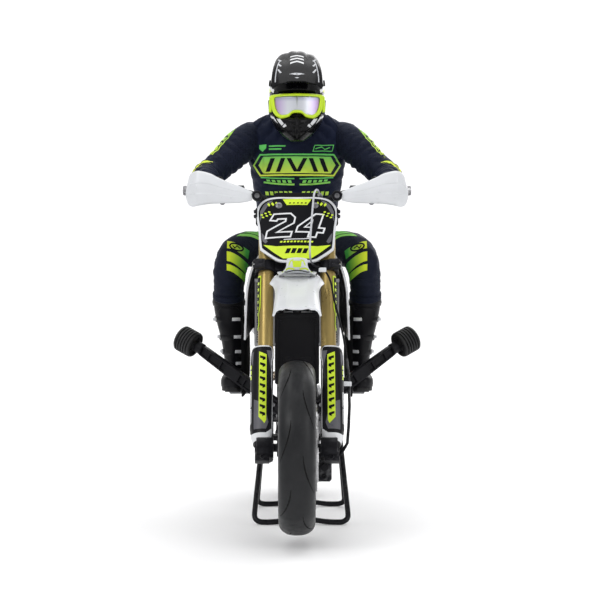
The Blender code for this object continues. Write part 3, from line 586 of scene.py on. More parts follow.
def thread_height(m):
    """Crossed bands that stand in for a knit, fine enough to read as cloth."""
    bands = []
    for way in ("DIAGONAL", "Z"):
        settings = {"wave_type": "BANDS", "wave_profile": "SIN", "bands_direction": way}
        wave = m.node("ShaderNodeTexWave", settings, Vector=m.place, Scale=675.0, Distortion=0.6, Detail=1.0)
        bands.append(wave.outputs["Fac"])
    return m.math("MULTIPLY", *bands)


def cloth(name, colour, second, mesh_dots=False, rough=0.82):
    """Knitted jersey: threads, slow fading, lint, and open dots where the real fabric is airy mesh."""
    m = Maker(name)
    height = thread_height(m)
    base = m.blend(m.span(m.noise(22, 4), 0.32, 0.7), colour, second)
    base = m.blend(m.span(height, 0, 1, 0.0, 0.4), base, tone(colour, 2.0))
    if mesh_dots:
        dots = m.node("ShaderNodeTexVoronoi", {"feature": "F1"}, Vector=m.place, Scale=620.0, Randomness=0.12)
        holes = m.span(dots.outputs["Distance"], 0.2, 0.42)
        base = m.blend(holes, (0.002, 0.002, 0.004), base)
        height = m.math("MULTIPLY", height, holes)
    m.set(Base_Color=base, Roughness=m.cloudy(300, 2, rough - 0.08, rough + 0.08), Sheen_Weight=0.055,
          Sheen_Roughness=0.4, Sheen_Tint=(0.45, 0.55, 1.0), Specular_IOR_Level=0.2,
          Specular_Tint=(0.6, 0.7, 1.0))
    return m.bump(height, 0.5, 0.16).material


def rubber(name, colour, scuff=0.25, rough=0.62):
    """Rubber with a bloom of dust and fine scuffs."""
    m = Maker(name)
    bloom = m.span(m.noise(38, 5, 0.62), 0.42, 0.75, 0.0, scuff)
    m.set(Base_Color=m.blend(bloom, colour, dusty(colour, 0.03, 2.2)), Specular_IOR_Level=0.3,
          Roughness=m.cloudy(120, 4, rough - 0.12, rough + 0.12))
    return m.bump(m.math("ADD", m.noise(520, 4), m.noise(60, 3)), 0.22, 0.25).material


def brushed(name, colour, rough=0.3, stretch=(900, 40, 900)):
    """Metal with the fine streaks that polishing or turning leaves."""
    m = Maker(name)
    scaled = m.node("ShaderNodeMapping", Vector=m.place)
    scaled.inputs["Scale"].default_value = stretch
    streaks = m.node("ShaderNodeTexNoise", Vector=scaled.outputs[0], Scale=1.0, Detail=4.0).outputs["Fac"]
    base = m.blend(m.span(streaks, 0.3, 0.7), tone(colour, 0.84), tone(colour, 1.12))
    m.set(Base_Color=base, Metallic=1.0, Roughness=m.span(streaks, 0.25, 0.75, rough - 0.08, rough + 0.1))
    return m.bump(streaks, 0.08, 0.05).material


def gradient(name, low_z, high_z):
    """The jersey's print: lime at the foot running to green at the top."""
    return printed(name, (0.9, 0.93, 0.06), 0.7, (0.11, 0.62, 0.13), low_z * MM, high_z * MM, "Z", True)


BLACK = moulded("black plastic", (0.009, 0.009, 0.011), 0.46, bump=0.2, spread=0.1)
SATIN = moulded("satin black plastic", (0.007, 0.007, 0.009), 0.36, coat=0.06, bump=0.08, spread=0.1)
WHITE = moulded("white plastic", (0.66, 0.675, 0.7), 0.34, spread=0.05, bump=0.06, coat=0.2)
GREY = moulded("pale grey plastic", (0.56, 0.57, 0.59), 0.4, spread=0.06, bump=0.1)
BLACK_METAL = moulded("black metal", (0.014, 0.014, 0.017), 0.36, metal=0.55, grain=900, rubbed=0.3)
FRAME_METAL = moulded("frame metal", (0.06, 0.062, 0.066), 0.4, metal=0.85, grain=700, rubbed=0.5)
GOLD = moulded("gold anodised tube", (0.38, 0.28, 0.1), 0.3, metal=0.85, cloud=14, grain=2400,
               bump=0.015, spread=0.05)
STEEL = brushed("steel", (0.56, 0.56, 0.57), 0.3)
DARK_STEEL = brushed("dark steel", (0.2, 0.2, 0.21), 0.35)
WIRE = moulded("black wire", (0.007, 0.007, 0.009), 0.3, metal=0.2, coat=0.15, grain=500, rubbed=0.2)
TYRE = rubber("tyre rubber", (0.005, 0.0055, 0.007), 0.1, 0.42)
RIB_RUBBER = rubber("roller rubber", (0.01, 0.01, 0.011), 0.2, 0.5)
GROOVE = rubber("groove", (0.002, 0.002, 0.002), 0.0, 0.9)
JERSEY = cloth("jersey cloth", (0.003, 0.0045, 0.013), (0.008, 0.011, 0.029), rough=0.6)
SLEEVE = cloth("airy mesh cloth", (0.005, 0.0065, 0.015), (0.012, 0.014, 0.027), mesh_dots=True, rough=0.64)
TROUSERS = cloth("trouser cloth", (0.003, 0.004, 0.01), (0.008, 0.0095, 0.018), rough=0.66)
GLOVE = cloth("glove cloth", (0.008, 0.008, 0.01), (0.02, 0.02, 0.024))
BOOT = moulded("boot", (0.007, 0.007, 0.009), 0.4, bump=0.35, grain=420, spread=0.12)
BUCKLE = moulded("buckle", (0.62, 0.63, 0.65), 0.35, spread=0.08)
SHELL = moulded("helmet shell", (0.003, 0.003, 0.004), 0.26, coat=0.1, bump=0.03, grain=400)
SHELL_MATT = moulded("helmet trim", (0.005, 0.005, 0.006), 0.55, bump=0.2)
LIME = printed("lime print", (0.6, 0.78, 0.03), 0.36)
LIME_PLASTIC = moulded("lime plastic", (0.58, 0.8, 0.02), 0.34, spread=0.08, coat=0.2, bump=0.05)
INK = printed("black print", (0.002, 0.0022, 0.004), 0.5)
CLOTH_INK = printed("black cloth print", (0.006, 0.007, 0.012), 0.75, fabric=True)
WHITE_PRINT = printed("white print", (0.72, 0.73, 0.75), 0.36)
GREY_PRINT = printed("grey print", (0.1, 0.1, 0.115), 0.33)
SILVER_PRINT = printed("silver print", (0.5, 0.51, 0.54), 0.25)
SMOKE = moulded("smoke foam", (0.01, 0.01, 0.011), 0.9, bump=0.5, grain=900)
ALLOY = brushed("cast alloy", (0.3, 0.3, 0.31), 0.42, (300, 300, 300))
MOTOR_WIRE = moulded("wire insulation", (0.5, 0.03, 0.02), 0.4)
CHEST_PRINT = gradient("chest print", 326, 352)
BAND_PRINT = gradient("band print", 300, 330)
SLEEVE_PRINT = gradient("sleeve print", 325, 400)
KNEE_PRINT = gradient("knee print", 226, 282)


# ---- floor, lights and camera --------------------------------------------------------------------
def backdrop():
    """A white floor that curves up into a wall; it glows, more strongly towards the back, a painted glow that
    whitens the backdrop.
    """
    m = Maker("floor")
    # Painted glow: emission rising along y from nothing at 0.5 m to 0.22 at 2.2 m.
    m.set(Base_Color=m.blend(m.cloudy(6, 3), (0.93, 0.93, 0.935), (0.95, 0.95, 0.955)), Roughness=0.75,
          Emission_Color=(1.0, 1.0, 1.0), Emission_Strength=m.span(m.along("Y"), 0.5, 2.2, 0.0, 0.22))
    front, bend, radius, top, half = -9.0, 2.2, 0.9, 5.0, 7
    quarter = [math.pi / 2 * i / 12 for i in range(1, 13)]
    curve = [(bend + radius * math.sin(a), radius - radius * math.cos(a)) for a in quarter]
    profile = [(front, 0.0), (bend, 0.0)] + curve + [(bend + radius, top)]
    bm = bmesh.new()
    skin(bm, [[Vector((x, y, z)) for y, z in profile] for x in (-half, half)], caps=False, closed=False)
    bmesh.ops.recalc_face_normals(bm, faces=bm.faces)
    mesh = bpy.data.meshes.new("floor")
    bm.to_mesh(mesh)
    bm.free()
    mesh.materials.append(m.material)
    mesh.shade_smooth()
    floor = bpy.data.objects.new("floor", mesh)
    bpy.context.scene.collection.objects.link(floor)


def lights():
    """An even white surround and four square lamps: (place, what it points at, size, power)."""
    world = bpy.data.worlds.new("studio")
    world.use_nodes = True
    world.node_tree.nodes["Background"].inputs["Color"].default_value = (1, 1, 1, 1)
    world.node_tree.nodes["Background"].inputs["Strength"].default_value = 0.62
    bpy.context.scene.world = world
    for name, at, aim, size, power in (
        ("key", (-1.3, -1.7, 1.7), (0, -0.05, 0.25), 1.3, 16),
        ("fill", (1.5, -1.6, 1.1), (0, -0.05, 0.22), 1.2, 9),
        ("top", (0, 0.2, 2.2), (0, 0, 0.2), 1.8, 20),
        ("back", (0.7, 1.9, 1.2), (0, 0, 0.25), 1.4, 14),
    ):
        light = bpy.data.lights.new(name, "AREA")
        light.shape, light.size, light.energy = "SQUARE", size, power
        holder = bpy.data.objects.new(name, light)
        holder.location = at
        holder.rotation_euler = (Vector(aim) - Vector(at)).to_track_quat("-Z", "Y").to_euler()
        bpy.context.scene.collection.objects.link(holder)


def view():
    """The photograph's camera: level, 1.5 m ahead of the front axle and 220 mm up."""
    camera = bpy.data.cameras.new("camera")
    camera.sensor_width, camera.lens = 36, 104.4
    camera.shift_x, camera.shift_y = 0.005, -0.0167
    camera.clip_start, camera.clip_end = 0.05, 60
    holder = bpy.data.objects.new("camera", camera)
    holder.location = (0, (-1500 - MIDDLE_Y) * MM, 0.220)
    holder.rotation_euler = (math.radians(90), 0, 0)
    bpy.context.scene.collection.objects.link(holder)
    bpy.context.scene.camera = holder
    bpy.context.scene.view_settings.view_transform = "Standard"


backdrop()
lights()
view()


# ---- wheels and tyres ----------------------------------------------------------------------------
def distances(line):
    """How far along a line of (u, v) points each of them lies."""
    lengths = [0.0]
    for p, q in zip(line, line[1:]):
        lengths.append(lengths[-1] + math.hypot(q[0] - p[0], q[1] - p[1]))
    return lengths


def round_axle(axle, along, angle, reach):
    """A point beside an axle, at an angle round it and a distance from it."""
    return Vector(axle) + Vector((along, math.cos(angle) * reach, math.sin(angle) * reach))


def tread(name, body, axle, radius, outer):
    """Pairs of curved sipes laid on the crown of a tyre whose section is outer."""
    arc = smooth_line(outer, 4)
    lengths = distances(arc)
    middle = lengths[-1] / 2

    def place(u, v):
        """u runs round the tyre in millimetres, v across it from the crown."""
        want = min(max(middle - v, 0), lengths[-1] - 1e-3)
        k = min(max(i for i, length in enumerate(lengths) if length <= want), len(arc) - 2)
        s = (want - lengths[k]) / max(1e-6, lengths[k + 1] - lengths[k])
        along = arc[k][0] + (arc[k + 1][0] - arc[k][0]) * s
        reach = arc[k][1] + (arc[k + 1][1] - arc[k][1]) * s
        return round_axle(axle, along * 1.004, u / radius, reach + 0.07)

    outlines = []
    pitch = 2 * math.pi * radius / 8
    for i in range(8):
        for side_v, shift in ((1, 0.0), (-1, 0.5)):
            start = (i + shift) * pitch
            centre = [(start + 36 * s, side_v * (5.0 + 11.0 * s ** 1.7)) for s in (k / 8 for k in range(9))]
            left, right = [], []
            for k, (u, v) in enumerate(centre):
                width = 0.62 * math.sin(math.pi * (0.12 + 0.8 * k / 8))
                left.append((u, v + width))
                right.append((u, v - width))
            outlines.append(left + right[::-1])
    stick(f"{name}_sipes", GROOVE, outlines, place, 2.2, body, "tyre")


def tyre(name, body, axle, radius, half):
    """A round-crowned road tyre with moulded sidewall ribs and pairs of curved sipes."""
    crown = radius - 21
    side = [(0.78, 0), (0.9, 2.2), (0.955, 5), (1.0, 8.5), (1.005, 11.5), (0.95, 14.3), (0.83, 16.9),
            (0.66, 18.9), (0.45, 20.2),
            (0.22, 20.85)]
    inner = [(-0.7, 0.4), (-0.78, 6), (-0.6, 12), (0, 15), (0.6, 12), (0.78, 6), (0.7, 0.4)]
    outer = [(half * a, crown + r) for a, r in side] + [(0, radius)] + [(-half * a, crown + r) for a,
        r in reversed(side)]
    profile = [tuple(p) for p in smooth_line(outer, 2)] + [(half * a, crown + r) for a, r in inner]
    bm = bmesh.new()
    spin_into(bm, profile, axle, X, 112)
    for side in SIDES:
        for reach, share, thick in ((crown + 3.0, 0.93, 0.35), (crown + 10.2, 1.0, 0.3)):
            foot = side * half * share
            rib = [(foot, reach - 0.5), (side * (half * share + thick), reach), (foot, reach + 0.5)]
            spin_into(bm, rib, axle, X, 96)
    wear(keep(bm, name, TYRE, smooth=50), body, "tyre", name)
    tread(name, body, axle, radius, outer)


def circle(radius, count):
    """A ring of (y, z) points."""
    return [(math.cos(a) * radius, math.sin(a) * radius) for a in turns(count)]


def ring_plate(bm, centre, outer, inner, half):
    """A flat plate between two rings of (y, z) points, half its thickness to each side of the centre."""
    rings = []
    for x, ring in ((-half, inner), (-half, outer), (half, outer), (half, inner)):
        rings.append([bm.verts.new(Vector(centre) + Vector((x, p, q))) for p, q in ring])
    for near, far in zip(rings, rings[1:] + rings[:1]):
        join_rings(bm, near, far)


def rim_and_hub(name, body, axle, half, rim_r, hub_end):
    """A drop-centre rim and a waisted hub with two spoke flanges."""
    low = rim_r - 2.2
    rim = [(-half, low), (-half, rim_r), (-half + 1.2, rim_r), (-half + 2, low), (-half * 0.45, rim_r - 3.4),
           (-half * 0.3, rim_r - 5.2), (half * 0.3, rim_r - 5.2), (half * 0.45, rim_r - 3.4), (half - 2, low),
           (half - 1.2, rim_r), (half, rim_r), (half, low), (half - 1.5, rim_r - 4.0),
           (half * 0.5, rim_r - 5.0),
           (half * 0.32, rim_r - 7), (-half * 0.32, rim_r - 7), (-half * 0.5, rim_r - 5.0),
           (-half + 1.5, rim_r - 4.0)]
    hub = [(-17.3, 4.4), (-17.3, 7.6), (-15, 8), (-11.2, 8), (-11, 11.4), (-10.6, 12), (-8, 12), (-7.4, 11),
           (-6, 7.2), (0, 6.4), (6, 7.2), (7.4, 11), (8, 12), (10.6, 12), (11, 11.4), (11.2, 8.6),
           (hub_end, 8.6),
           (hub_end, 4.4)]
    bm = bmesh.new()
    spin_into(bm, rim, axle, X, 96)
    spin_into(bm, hub, axle, X, 40)
    wear(keep(bm, name, BLACK_METAL), body, "black_alloy", name)


def spokes(name, body, axle, rim_r, count):
    """Laced wire spokes, leaning by pairs, with a nipple at the rim and an elbow at the hub's flange."""
    bm = bmesh.new()
    for i, angle in enumerate(turns(count)):
        lean = math.radians(17 if (i // 2) % 2 else -17)
        flange = 9.2 if i % 2 else -9.2
        start = round_axle(axle, flange, angle, 10.4)
        end = round_axle(axle, flange * 0.12, angle + lean, rim_r - 6.4)
        sweep_into(bm, [start, end], 0.62, 8)
        way = (start - end).normalized()
        rod_into(bm, end, end + way * 4.5, 1.05, 8, 0.2)
        rod_into(bm, start - way * 0.8, start + way * 0.8, 1.0, 8, 0.2)
    wear(keep(bm, f"{name}_spokes", STEEL), body, "black_alloy")


def brake_disc(name, body, axle, disc_x, disc_r):
    """A notched disc ring on six bent arms, and its drilled holes as dark plugs."""
    centre = Vector(axle) + Vector((disc_x, 0, 0))
    notched = [disc_r - (0.9 if (i // 6) % 2 else 0.0) for i in range(144)]
    outline = [(math.cos(a) * reach, math.sin(a) * reach) for a, reach in zip(turns(144), notched)]
    bm = bmesh.new()
    ring_plate(bm, centre, outline, circle(disc_r - 9.5, 144), 0.6)
    for angle in turns(6):
        arm = [centre + Vector((0, math.cos(a), math.sin(a))) * reach
               for a, reach in ((angle, 7), (angle, disc_r * 0.5), (angle + 0.35, disc_r - 8.5))]
        sweep_into(bm, arm, [2.2, 1.7, 2.0], 8, 0.3, X)
    wear(keep(bm, f"{name}_disc", STEEL), body, "black_alloy")
    bm = bmesh.new()
    for i, angle in enumerate(turns(24)):
        reach = disc_r - (3.2 if i % 2 else 6.2)
        spin_into(bm, [(0, 0), (0, 0.95), (1.44, 0.95), (1.44, 0)],
                  round_axle(axle, disc_x - 0.72, angle, reach), X, 10)
    wear(keep(bm, f"{name}_disc_holes", GROOVE), body, "black_alloy")


def gear(name, body, centre, root, tip, teeth, bore, mat):
    """A flat sprocket with rounded teeth, and six bolts if it is a big one."""
    steps = 6
    outer = []
    for i, angle in enumerate(turns(teeth * steps)):
        share = max(0.0, math.sin(math.pi * (i % steps) / steps)) ** 1.2
        reach = root + (tip - root) * share
        outer.append((math.cos(angle) * reach, math.sin(angle) * reach))
    bm = bmesh.new()
    ring_plate(bm, centre, outer, circle(bore, teeth * steps), 0.9)
    if root > 20:
        for angle in turns(6):
            bolt_into(bm, round_axle(centre, 0.9, angle, 12), X, 1.7, 1.2)
    return wear(keep(bm, name, mat, smooth=30), body, "steel")


def wheel(name, body, axle, half_rim, disc_x, disc_r):
    """A wire wheel with its brake disc."""
    rim_r = 53.5
    rim_and_hub(name, body, axle, half_rim, rim_r, abs(disc_x) + 0.6)
    spokes(name, body, axle, rim_r, 24)
    brake_disc(name, body, axle, disc_x, disc_r)


tyre("front_tyre", "front_wheel_assembly", FRONT_AXLE, 75.0, 15.5)
tyre("rear_tyre", "rear_wheel_assembly", REAR_AXLE, 76.5, 19.0)
wheel("front_wheel", "front_wheel_assembly", FRONT_AXLE, 12.0, 16.7, 38.0)
wheel("rear_wheel", "rear_wheel_assembly", REAR_AXLE, 15.0, -20.8, 26.0)
gear("rear_wheel_sprocket", "rear_wheel_assembly", REAR_AXLE + 22.6 * X, 27.9, 30.0, 48, 8.8, ALLOY)


# ---- fork, clamps and guards ---------------------------------------------------------------------
def fork_tube(side, side_name):
    """A gold tube in its two thicknesses, with the cap on top and the seal below."""
    axis = fork_way(0, 0, 1).normalized()
    base = in_fork(side * FORK_HALF, -FORK_OFFSET, 0)
    r = FORK_TUBE_R
    profile = [(88, 5.8), (88, r - 0.5), (88.5, r), (96, r), (96.4, r - 0.35), (168, r - 0.35),
               (168, r - 0.1),
               (234, r - 0.1), (235.5, r - 0.6), (235.5, 5.6), (237, 5.4), (237, 0), (230, 0), (230, 5.8)]
    tube = spun(f"fork_tube_{side_name}", GOLD, profile, base, axis, 40)
    wear(tube, "steering", "gold", f"fork_tube_{side_name}")
    profile = [(235.6, 0), (235.6, 5.4), (237.0, 5.4), (237.4, 4.9), (237.4, 2.2), (236.4, 2.0), (236.4, 0)]
    cap = spun(f"fork_cap_{side_name}", BLACK_METAL, profile, base, axis, 6, bevel=0.2)
    wear(cap, "steering", "black_alloy")
    profile = [(85.6, 5.45), (85.6, 7.0), (87.9, 7.4), (87.9, 5.45)]
    wear(spun(f"fork_seal_{side_name}", SMOKE, profile, base, axis, 32), "steering", "hard_rubber")


def tube_prints(side, side_name):
    """A lime shield with slanted bars on the outside of each tube."""
    def wrap(lift):
        def place(u, v):
            """u is the distance round the tube from its front, outwards; v is the height along it."""
            angle = u / FORK_TUBE_R
            reach = FORK_TUBE_R + lift
            return in_fork(side * (FORK_HALF + math.sin(angle) * reach), -FORK_OFFSET
                           - math.cos(angle) * reach, v)

        return place

    shield = [(4.5, 166), (13, 168), (13, 118), (8.5, 112), (6.5, 118), (7.5, 128), (5.2, 134)]
    inside = [(5.6, 164.6), (12.6, 166), (12.6, 119), (9.2, 115), (7.6, 119), (8.4, 128), (6.3, 135)]
    bars = []
    for i in range(6):
        left, v = 0.35 * i, -6 * i
        bars.append([(6.6 + left, 160 + v), (11.8, 161.5 + v), (11.8, 158.6 + v), (6.9 + left, 157.4 + v)])
    for tag, mat, shapes, lift in (("lime", LIME, [shield], 0.12), ("ink", INK, [inside], 0.2),
                                   ("bars", LIME, bars, 0.27)):
        stick(f"tube_print_{tag}_{side_name}", mat, shapes, wrap(lift), 1.2, "steering", "gold")


# The fork guard's section in (outwards, back) from the tube's middle, and its width laid flat.
CHANNEL_CORNERS = [(-6.4, -6), (-5.6, -8.3), (-3.6, -9.7), (0, -10.2), (4.6, -10.0), (8.4, -8.4),
                   (11.2, -5.0), (12.3, -0.5), (12.3, 4), (11.6, 8.5)]
CHANNEL = smooth_line(CHANNEL_CORNERS, 4)
CHANNEL_WIDTH = 42.0


def channel_spot(side, share, t, lift=0.0):
    """A point on a fork guard; share runs 0 to 1 from its inner edge round the front to its outer edge."""
    taper = 1.0
    if t < 20:
        taper = 0.7 + 0.3 * math.sin(math.pi / 2 * max(0.0, (t - 5) / 15))
    elif t > 86:
        taper = 1.0 - 0.14 * ((t - 86) / 9) ** 2
    place = share * (len(CHANNEL) - 1)
    k = min(int(place), len(CHANNEL) - 2)
    near, far = CHANNEL[k], CHANNEL[k + 1]
    dx, dy = far[0] - near[0], far[1] - near[1]
    x, y = near[0] + dx * (place - k), near[1] + dy * (place - k)
    size = math.hypot(dx, dy)
    x, y = 1.5 + (x - 1.5) * taper + dy / size * lift, y - dx / size * lift
    return in_fork(side * (FORK_HALF + x), y - FORK_OFFSET, t)


def frame_strokes(line, half_u, half_v):
    """A line round a guard as four-sided pieces, thickened in v where it runs across and in u elsewhere."""
    made = []
    for p, q in zip(line, line[1:]):
        u, v = (0.0, half_v) if abs(q[0] - p[0]) > 0.1 else (half_u, 0.0)
        made.append([(p[0] - u, p[1] - v), (q[0] - u, q[1] - v), (q[0] + u, q[1] + v), (p[0] + u, p[1] + v)])
    return made


def fork_guard(side, side_name):
    """The long channel over a slider: narrowed at the foot and rounded at the top."""
    rows = []
    for t in (5, 6, 8, 11, 15, 20, 28, 40, 52, 64, 76, 84, 88, 92, 94.3, 95):
        low, high = (0.0, 1.0) if t > 17 else (0.06, 0.94)
        if t > 92:
            low, high = 0.05 * (t - 92) / 3, 1 - 0.08 * (t - 92) / 3
        rows.append([channel_spot(side, low + (high - low) * i / 36, t) for i in range(37)])
    bm = bmesh.new()
    sheet_into(bm, rows, 1.5)
    guard = keep(bm, f"fork_guard_{side_name}", SATIN, bevel=0.25)
    wear(guard, "fork_lower", "graphic_panel", f"fork_guard_{side_name}")


def guard_prints(side, side_name):
    """The guard's graphics in (share round it, height): a white frame, a lime stripe, bars and loops."""
    def stamp(tag, mat, shapes, level):
        def place(u, v):
            return channel_spot(side, min(max(u / CHANNEL_WIDTH, 0.0), 1.0), v, 0.75 + 0.08 * level)

        flat = [[(u * CHANNEL_WIDTH, v) for u, v in shape] for shape in shapes]
        stick(f"guard_{tag}_{side_name}", mat, flat, place, 1.6, "fork_lower", "graphic_panel")

    edge = [(0.1, 13), (0.1, 52), (0.14, 57), (0.14, 80), (0.1, 85), (0.1, 93), (0.2, 94.2), (0.7, 94.2),
            (0.9, 92.6), (0.92, 60), (0.92, 20)]
    stamp("edge", WHITE_PRINT, frame_strokes(edge, 0.022, 0.6), 1)
    foot = [(0.07, 5.6), (0.93, 5.6), (0.97, 14), (0.86, 17.5), (0.7, 12.5), (0.3, 12.5), (0.14, 16.5),
            (0.03, 14)]
    stamp("foot", WHITE_PRINT, [foot], 1)
    shade = [[(0.12, 90), (0.3, 90), (0.16, 70), (0.12, 72)],
             [(0.36, 40), (0.58, 44), (0.58, 16), (0.3, 16), (0.24, 22)],
             [(0.6, 90), (0.74, 88), (0.62, 76)], [(0.78, 40), (0.9, 46), (0.9, 20), (0.8, 18)]]
    stamp("shade", GREY_PRINT, shade, 1)
    stamp("stripe", LIME, [[(0.3, 86), (0.46, 89), (0.46, 27), (0.34, 21), (0.3, 24)]], 2)
    hatch = []
    for v in (83.5 - 6.6 * i for i in range(9)):
        hatch.append([(0.325, v), (0.44, v + 1.7), (0.44, v - 0.6), (0.385, v - 1.6), (0.385, v - 3.2),
                      (0.325, v - 2.2)])
    stamp("hatch", INK, hatch, 3)
    bars = [[(0.66, v), (0.75, v + 1.1), (0.75, v - 2.5), (0.66, v - 3.6)]
            for v in (77.5 - 5 * i for i in range(3))]
    stamp("bars", LIME, bars, 2)
    loops = []
    for v in (52, 36.5):
        ring = [(0.68, v), (0.9, v + 2), (0.93, v - 4), (0.93, v - 9), (0.88, v - 12.5), (0.68, v - 13.5)]
        loops += frame_strokes(ring + ring[:1], 0.02, 0.55)
    stamp("loops", WHITE_PRINT, loops, 2)


def lower_fork_details():
    """Machined lugs, axle caps and pinch bolts over the plain sliders, and the finned caliper body."""
    for side, side_name in SIDES.items():
        bm = bmesh.new()
        centre = FRONT_AXLE + Vector((side * 20.4, 0, 0))
        out = Vector((side, 0, 0))
        spin_into(bm, [(0, 4.6), (0, 8.6), (0.8, 9.1), (13.6, 9.1), (14.6, 8.3), (14.6, 6.6),
                       (13.2, 6.4), (13.2, 4.6)], centre, out, 40)
        spin_into(bm, [(13.3, 0), (13.3, 6.0), (15.4, 6.0), (16.0, 5.4), (16.0, 3.0), (14.4, 2.8),
                       (14.4, 0)], centre, out, 6)
        for t in (-6.5, 2.0):
            at = in_fork(side * (FORK_HALF + 2), -FORK_OFFSET - 9.8, t - 3)
            bolt_into(bm, at, fork_way(0, -1, 0), 1.9, 1.6)
        box_into(bm, in_fork(side * (FORK_HALF + 2), -FORK_OFFSET - 5.4, -5), (6.2, 4.6, 7.6), FORK.to_3x3())
        wear(keep(bm, f"axle_lug_{side_name}", BLACK_METAL, bevel=0.5), "fork_lower", "black_alloy")
    for node in ("fork_leg_left", "fork_leg_right", "brake_caliper"):
        NODES[node].data.materials[0] = BLACK_METAL
    bm = bmesh.new()
    box_into(bm, FRONT_AXLE + Vector((23.6, 25.5, -18.5)), (5.2, 9.5, 11.5))
    for i in range(4):
        box_into(bm, FRONT_AXLE + Vector((29.4, 18.5 + 4.6 * i, -18.5)), (0.9, 1.1, 10.5))
    for z in (-26, -11):
        bolt_into(bm, FRONT_AXLE + Vector((23.6, 14.8, z)), (0, -1, 0), 2.3, 2.0)
    rod_into(bm, FRONT_AXLE + Vector((24, 15.5, -18)), FRONT_AXLE + Vector((24, 12.4, -18)), 3.6, 20)
    wear(keep(bm, "caliper_body", SATIN, bevel=0.7, segments=3), "fork_lower", "black_alloy")


def clamps():
    """Forged clamps with split bosses and pinch bolts in place of the plain CAD slabs."""
    for name, low, high in (("lower_clamp", 171, 181), ("upper_clamp", 222, 233)):
        bm = bmesh.new()
        mid, half = (low + high) / 2, (high - low) / 2
        for side in SIDES:
            centre = in_fork(side * FORK_HALF, -FORK_OFFSET, 0)
            axis = fork_way(0, 0, 1)
            spin_into(bm, [(low, 7.5), (low, 9.4), (low + 0.8, 10.1), (high - 0.8, 10.1), (high, 9.4),
                           (high, 7.5)], centre, axis, 40)
            for t in (mid - half * 0.45, mid + half * 0.45):
                rod_into(bm, in_fork(side * 31, -FORK_OFFSET - 11.2, t),
                         in_fork(side * 38.4, -FORK_OFFSET - 9.2, t), 2.1, 14)
                bolt_into(bm, in_fork(side * 38.2, -FORK_OFFSET - 9.3, t), fork_way(side, 0.2, 0), 1.7, 1.4)
            box_into(bm, in_fork(side * 33.4, -FORK_OFFSET - 9.6, mid), (4.4, 2.4, half * 0.9), FORK.to_3x3())
        outline = [(-20, -13.5), (-17, 3), (-8, 9), (8, 9), (17, 3), (20, -13.5), (13, -9.5), (-13, -9.5)]
        skin(bm, [[in_fork(x, y, t) for x, y in outline] for t in (low + 0.8, high - 0.8)])
        made = keep(bm, name, BLACK_METAL, bevel=0.6, segments=3)
        stem_nut = [(232.4, 0), (232.4, 6.4), (234.6, 6.4), (235.2, 5.6), (235.2, 3), (234.2, 2.8),
                    (234.2, 0)]
        if name == "lower_clamp":
            extend(made, lambda b: rod_into(b, in_fork(0, 0, 175), in_fork(0, 0, 221.7), 5.4, 20))
        else:
            extend(made, lambda b: spin_into(b, stem_nut, in_fork(0, 0, 0), fork_way(0, 0, 1), 6))
        wear(made, "steering", "black_alloy", name)


for side_of, side_label in SIDES.items():
    fork_tube(side_of, side_label)
    tube_prints(side_of, side_label)
for side_of, side_label in SIDES.items():
    fork_guard(side_of, side_label)
    guard_prints(side_of, side_label)
lower_fork_details()
clamps()


# ---- the rider: cloth ----------------------------------------------------------------------------
def swell(made, voxel=3.2, cap=2.4, pressure=4.0):
    """Cloth pressed out from inside settles the garment's shape; no point moves over cap millimetres."""
    mod = made.modifiers.new("remesh", "REMESH")
    mod.mode, mod.voxel_size = "VOXEL", voxel * MM
    bake(made)
    before = [v.co.copy() for v in made.data.vertices]
    mod = made.modifiers.new("cloth", "CLOTH")
    mod.settings.use_pressure = True
    mod.settings.uniform_pressure_force = pressure
    mod.settings.effector_weights.gravity = 0
    mod.settings.quality = 5
    scene = bpy.context.scene
    for step in range(1, 21):
        scene.frame_set(step)
    bake(made)
    scene.frame_set(1)
    for vert, start in zip(made.data.vertices, before):
        move = vert.co - start
        if move.length > cap * MM:
            vert.co = start + move.normalized() * cap * MM
    mod = made.modifiers.new("subdivision", "SUBSURF")
    mod.levels = mod.render_levels = 1
    bake(made)
    made.data.shade_smooth()
    return made


def crumple(made, depth=0.7, size=17.0, creases=()):
    """Cloth folds: shallow ridges all over and creases, each (place, across, pitch, height, reach)."""
    made.data.update()
    normals = [v.normal.copy() for v in made.data.vertices]
    for vert, normal in zip(made.data.vertices, normals):
        spot = unrow(vert.co)
        ridge = noise.noise(Vector((spot.x / size, spot.y / size, spot.z / (size * 1.5))))
        push = depth * (0.45 - 1.7 * abs(ridge))
        for place, across, pitch, height, reach in creases:
            away = spot - Vector(place)
            share = math.exp(-(away.length / reach) ** 2)
            if share > 0.02:
                turned = 2 * math.pi * away.dot(Vector(across).normalized()) / pitch
                phase = turned + 2.4 * noise.noise(spot / 11)
                push += height * share * (abs(math.sin(phase / 2)) * 2 - 1.1)
        vert.co += normal * (push * MM)
    made.data.update()
    return made


def cast_round(target, path):
    """place(u, v): u millimetres along a limb's path, v degrees round it from the front, cast inward."""
    points = [Vector(p) for p in path]
    tree = caster(target, False)

    def place(u, v):
        left, k = u, 0
        while k < len(points) - 2 and left > (points[k + 1] - points[k]).length:
            left -= (points[k + 1] - points[k]).length
            k += 1
        along = (points[k + 1] - points[k]).normalized()
        spot = points[k] + along * left
        front = -Y - along * along.dot(-Y)
        front.normalize()
        side = along.cross(front)
        angle = math.radians(v)
        out = front * math.cos(angle) + side * math.sin(angle)
        hit, normal, _, _ = tree.ray_cast(spot + out * 45, -out, 60)
        if hit is None:
            return None
        return hit + (normal if normal.dot(out) > 0 else -normal) * 0.3

    return place


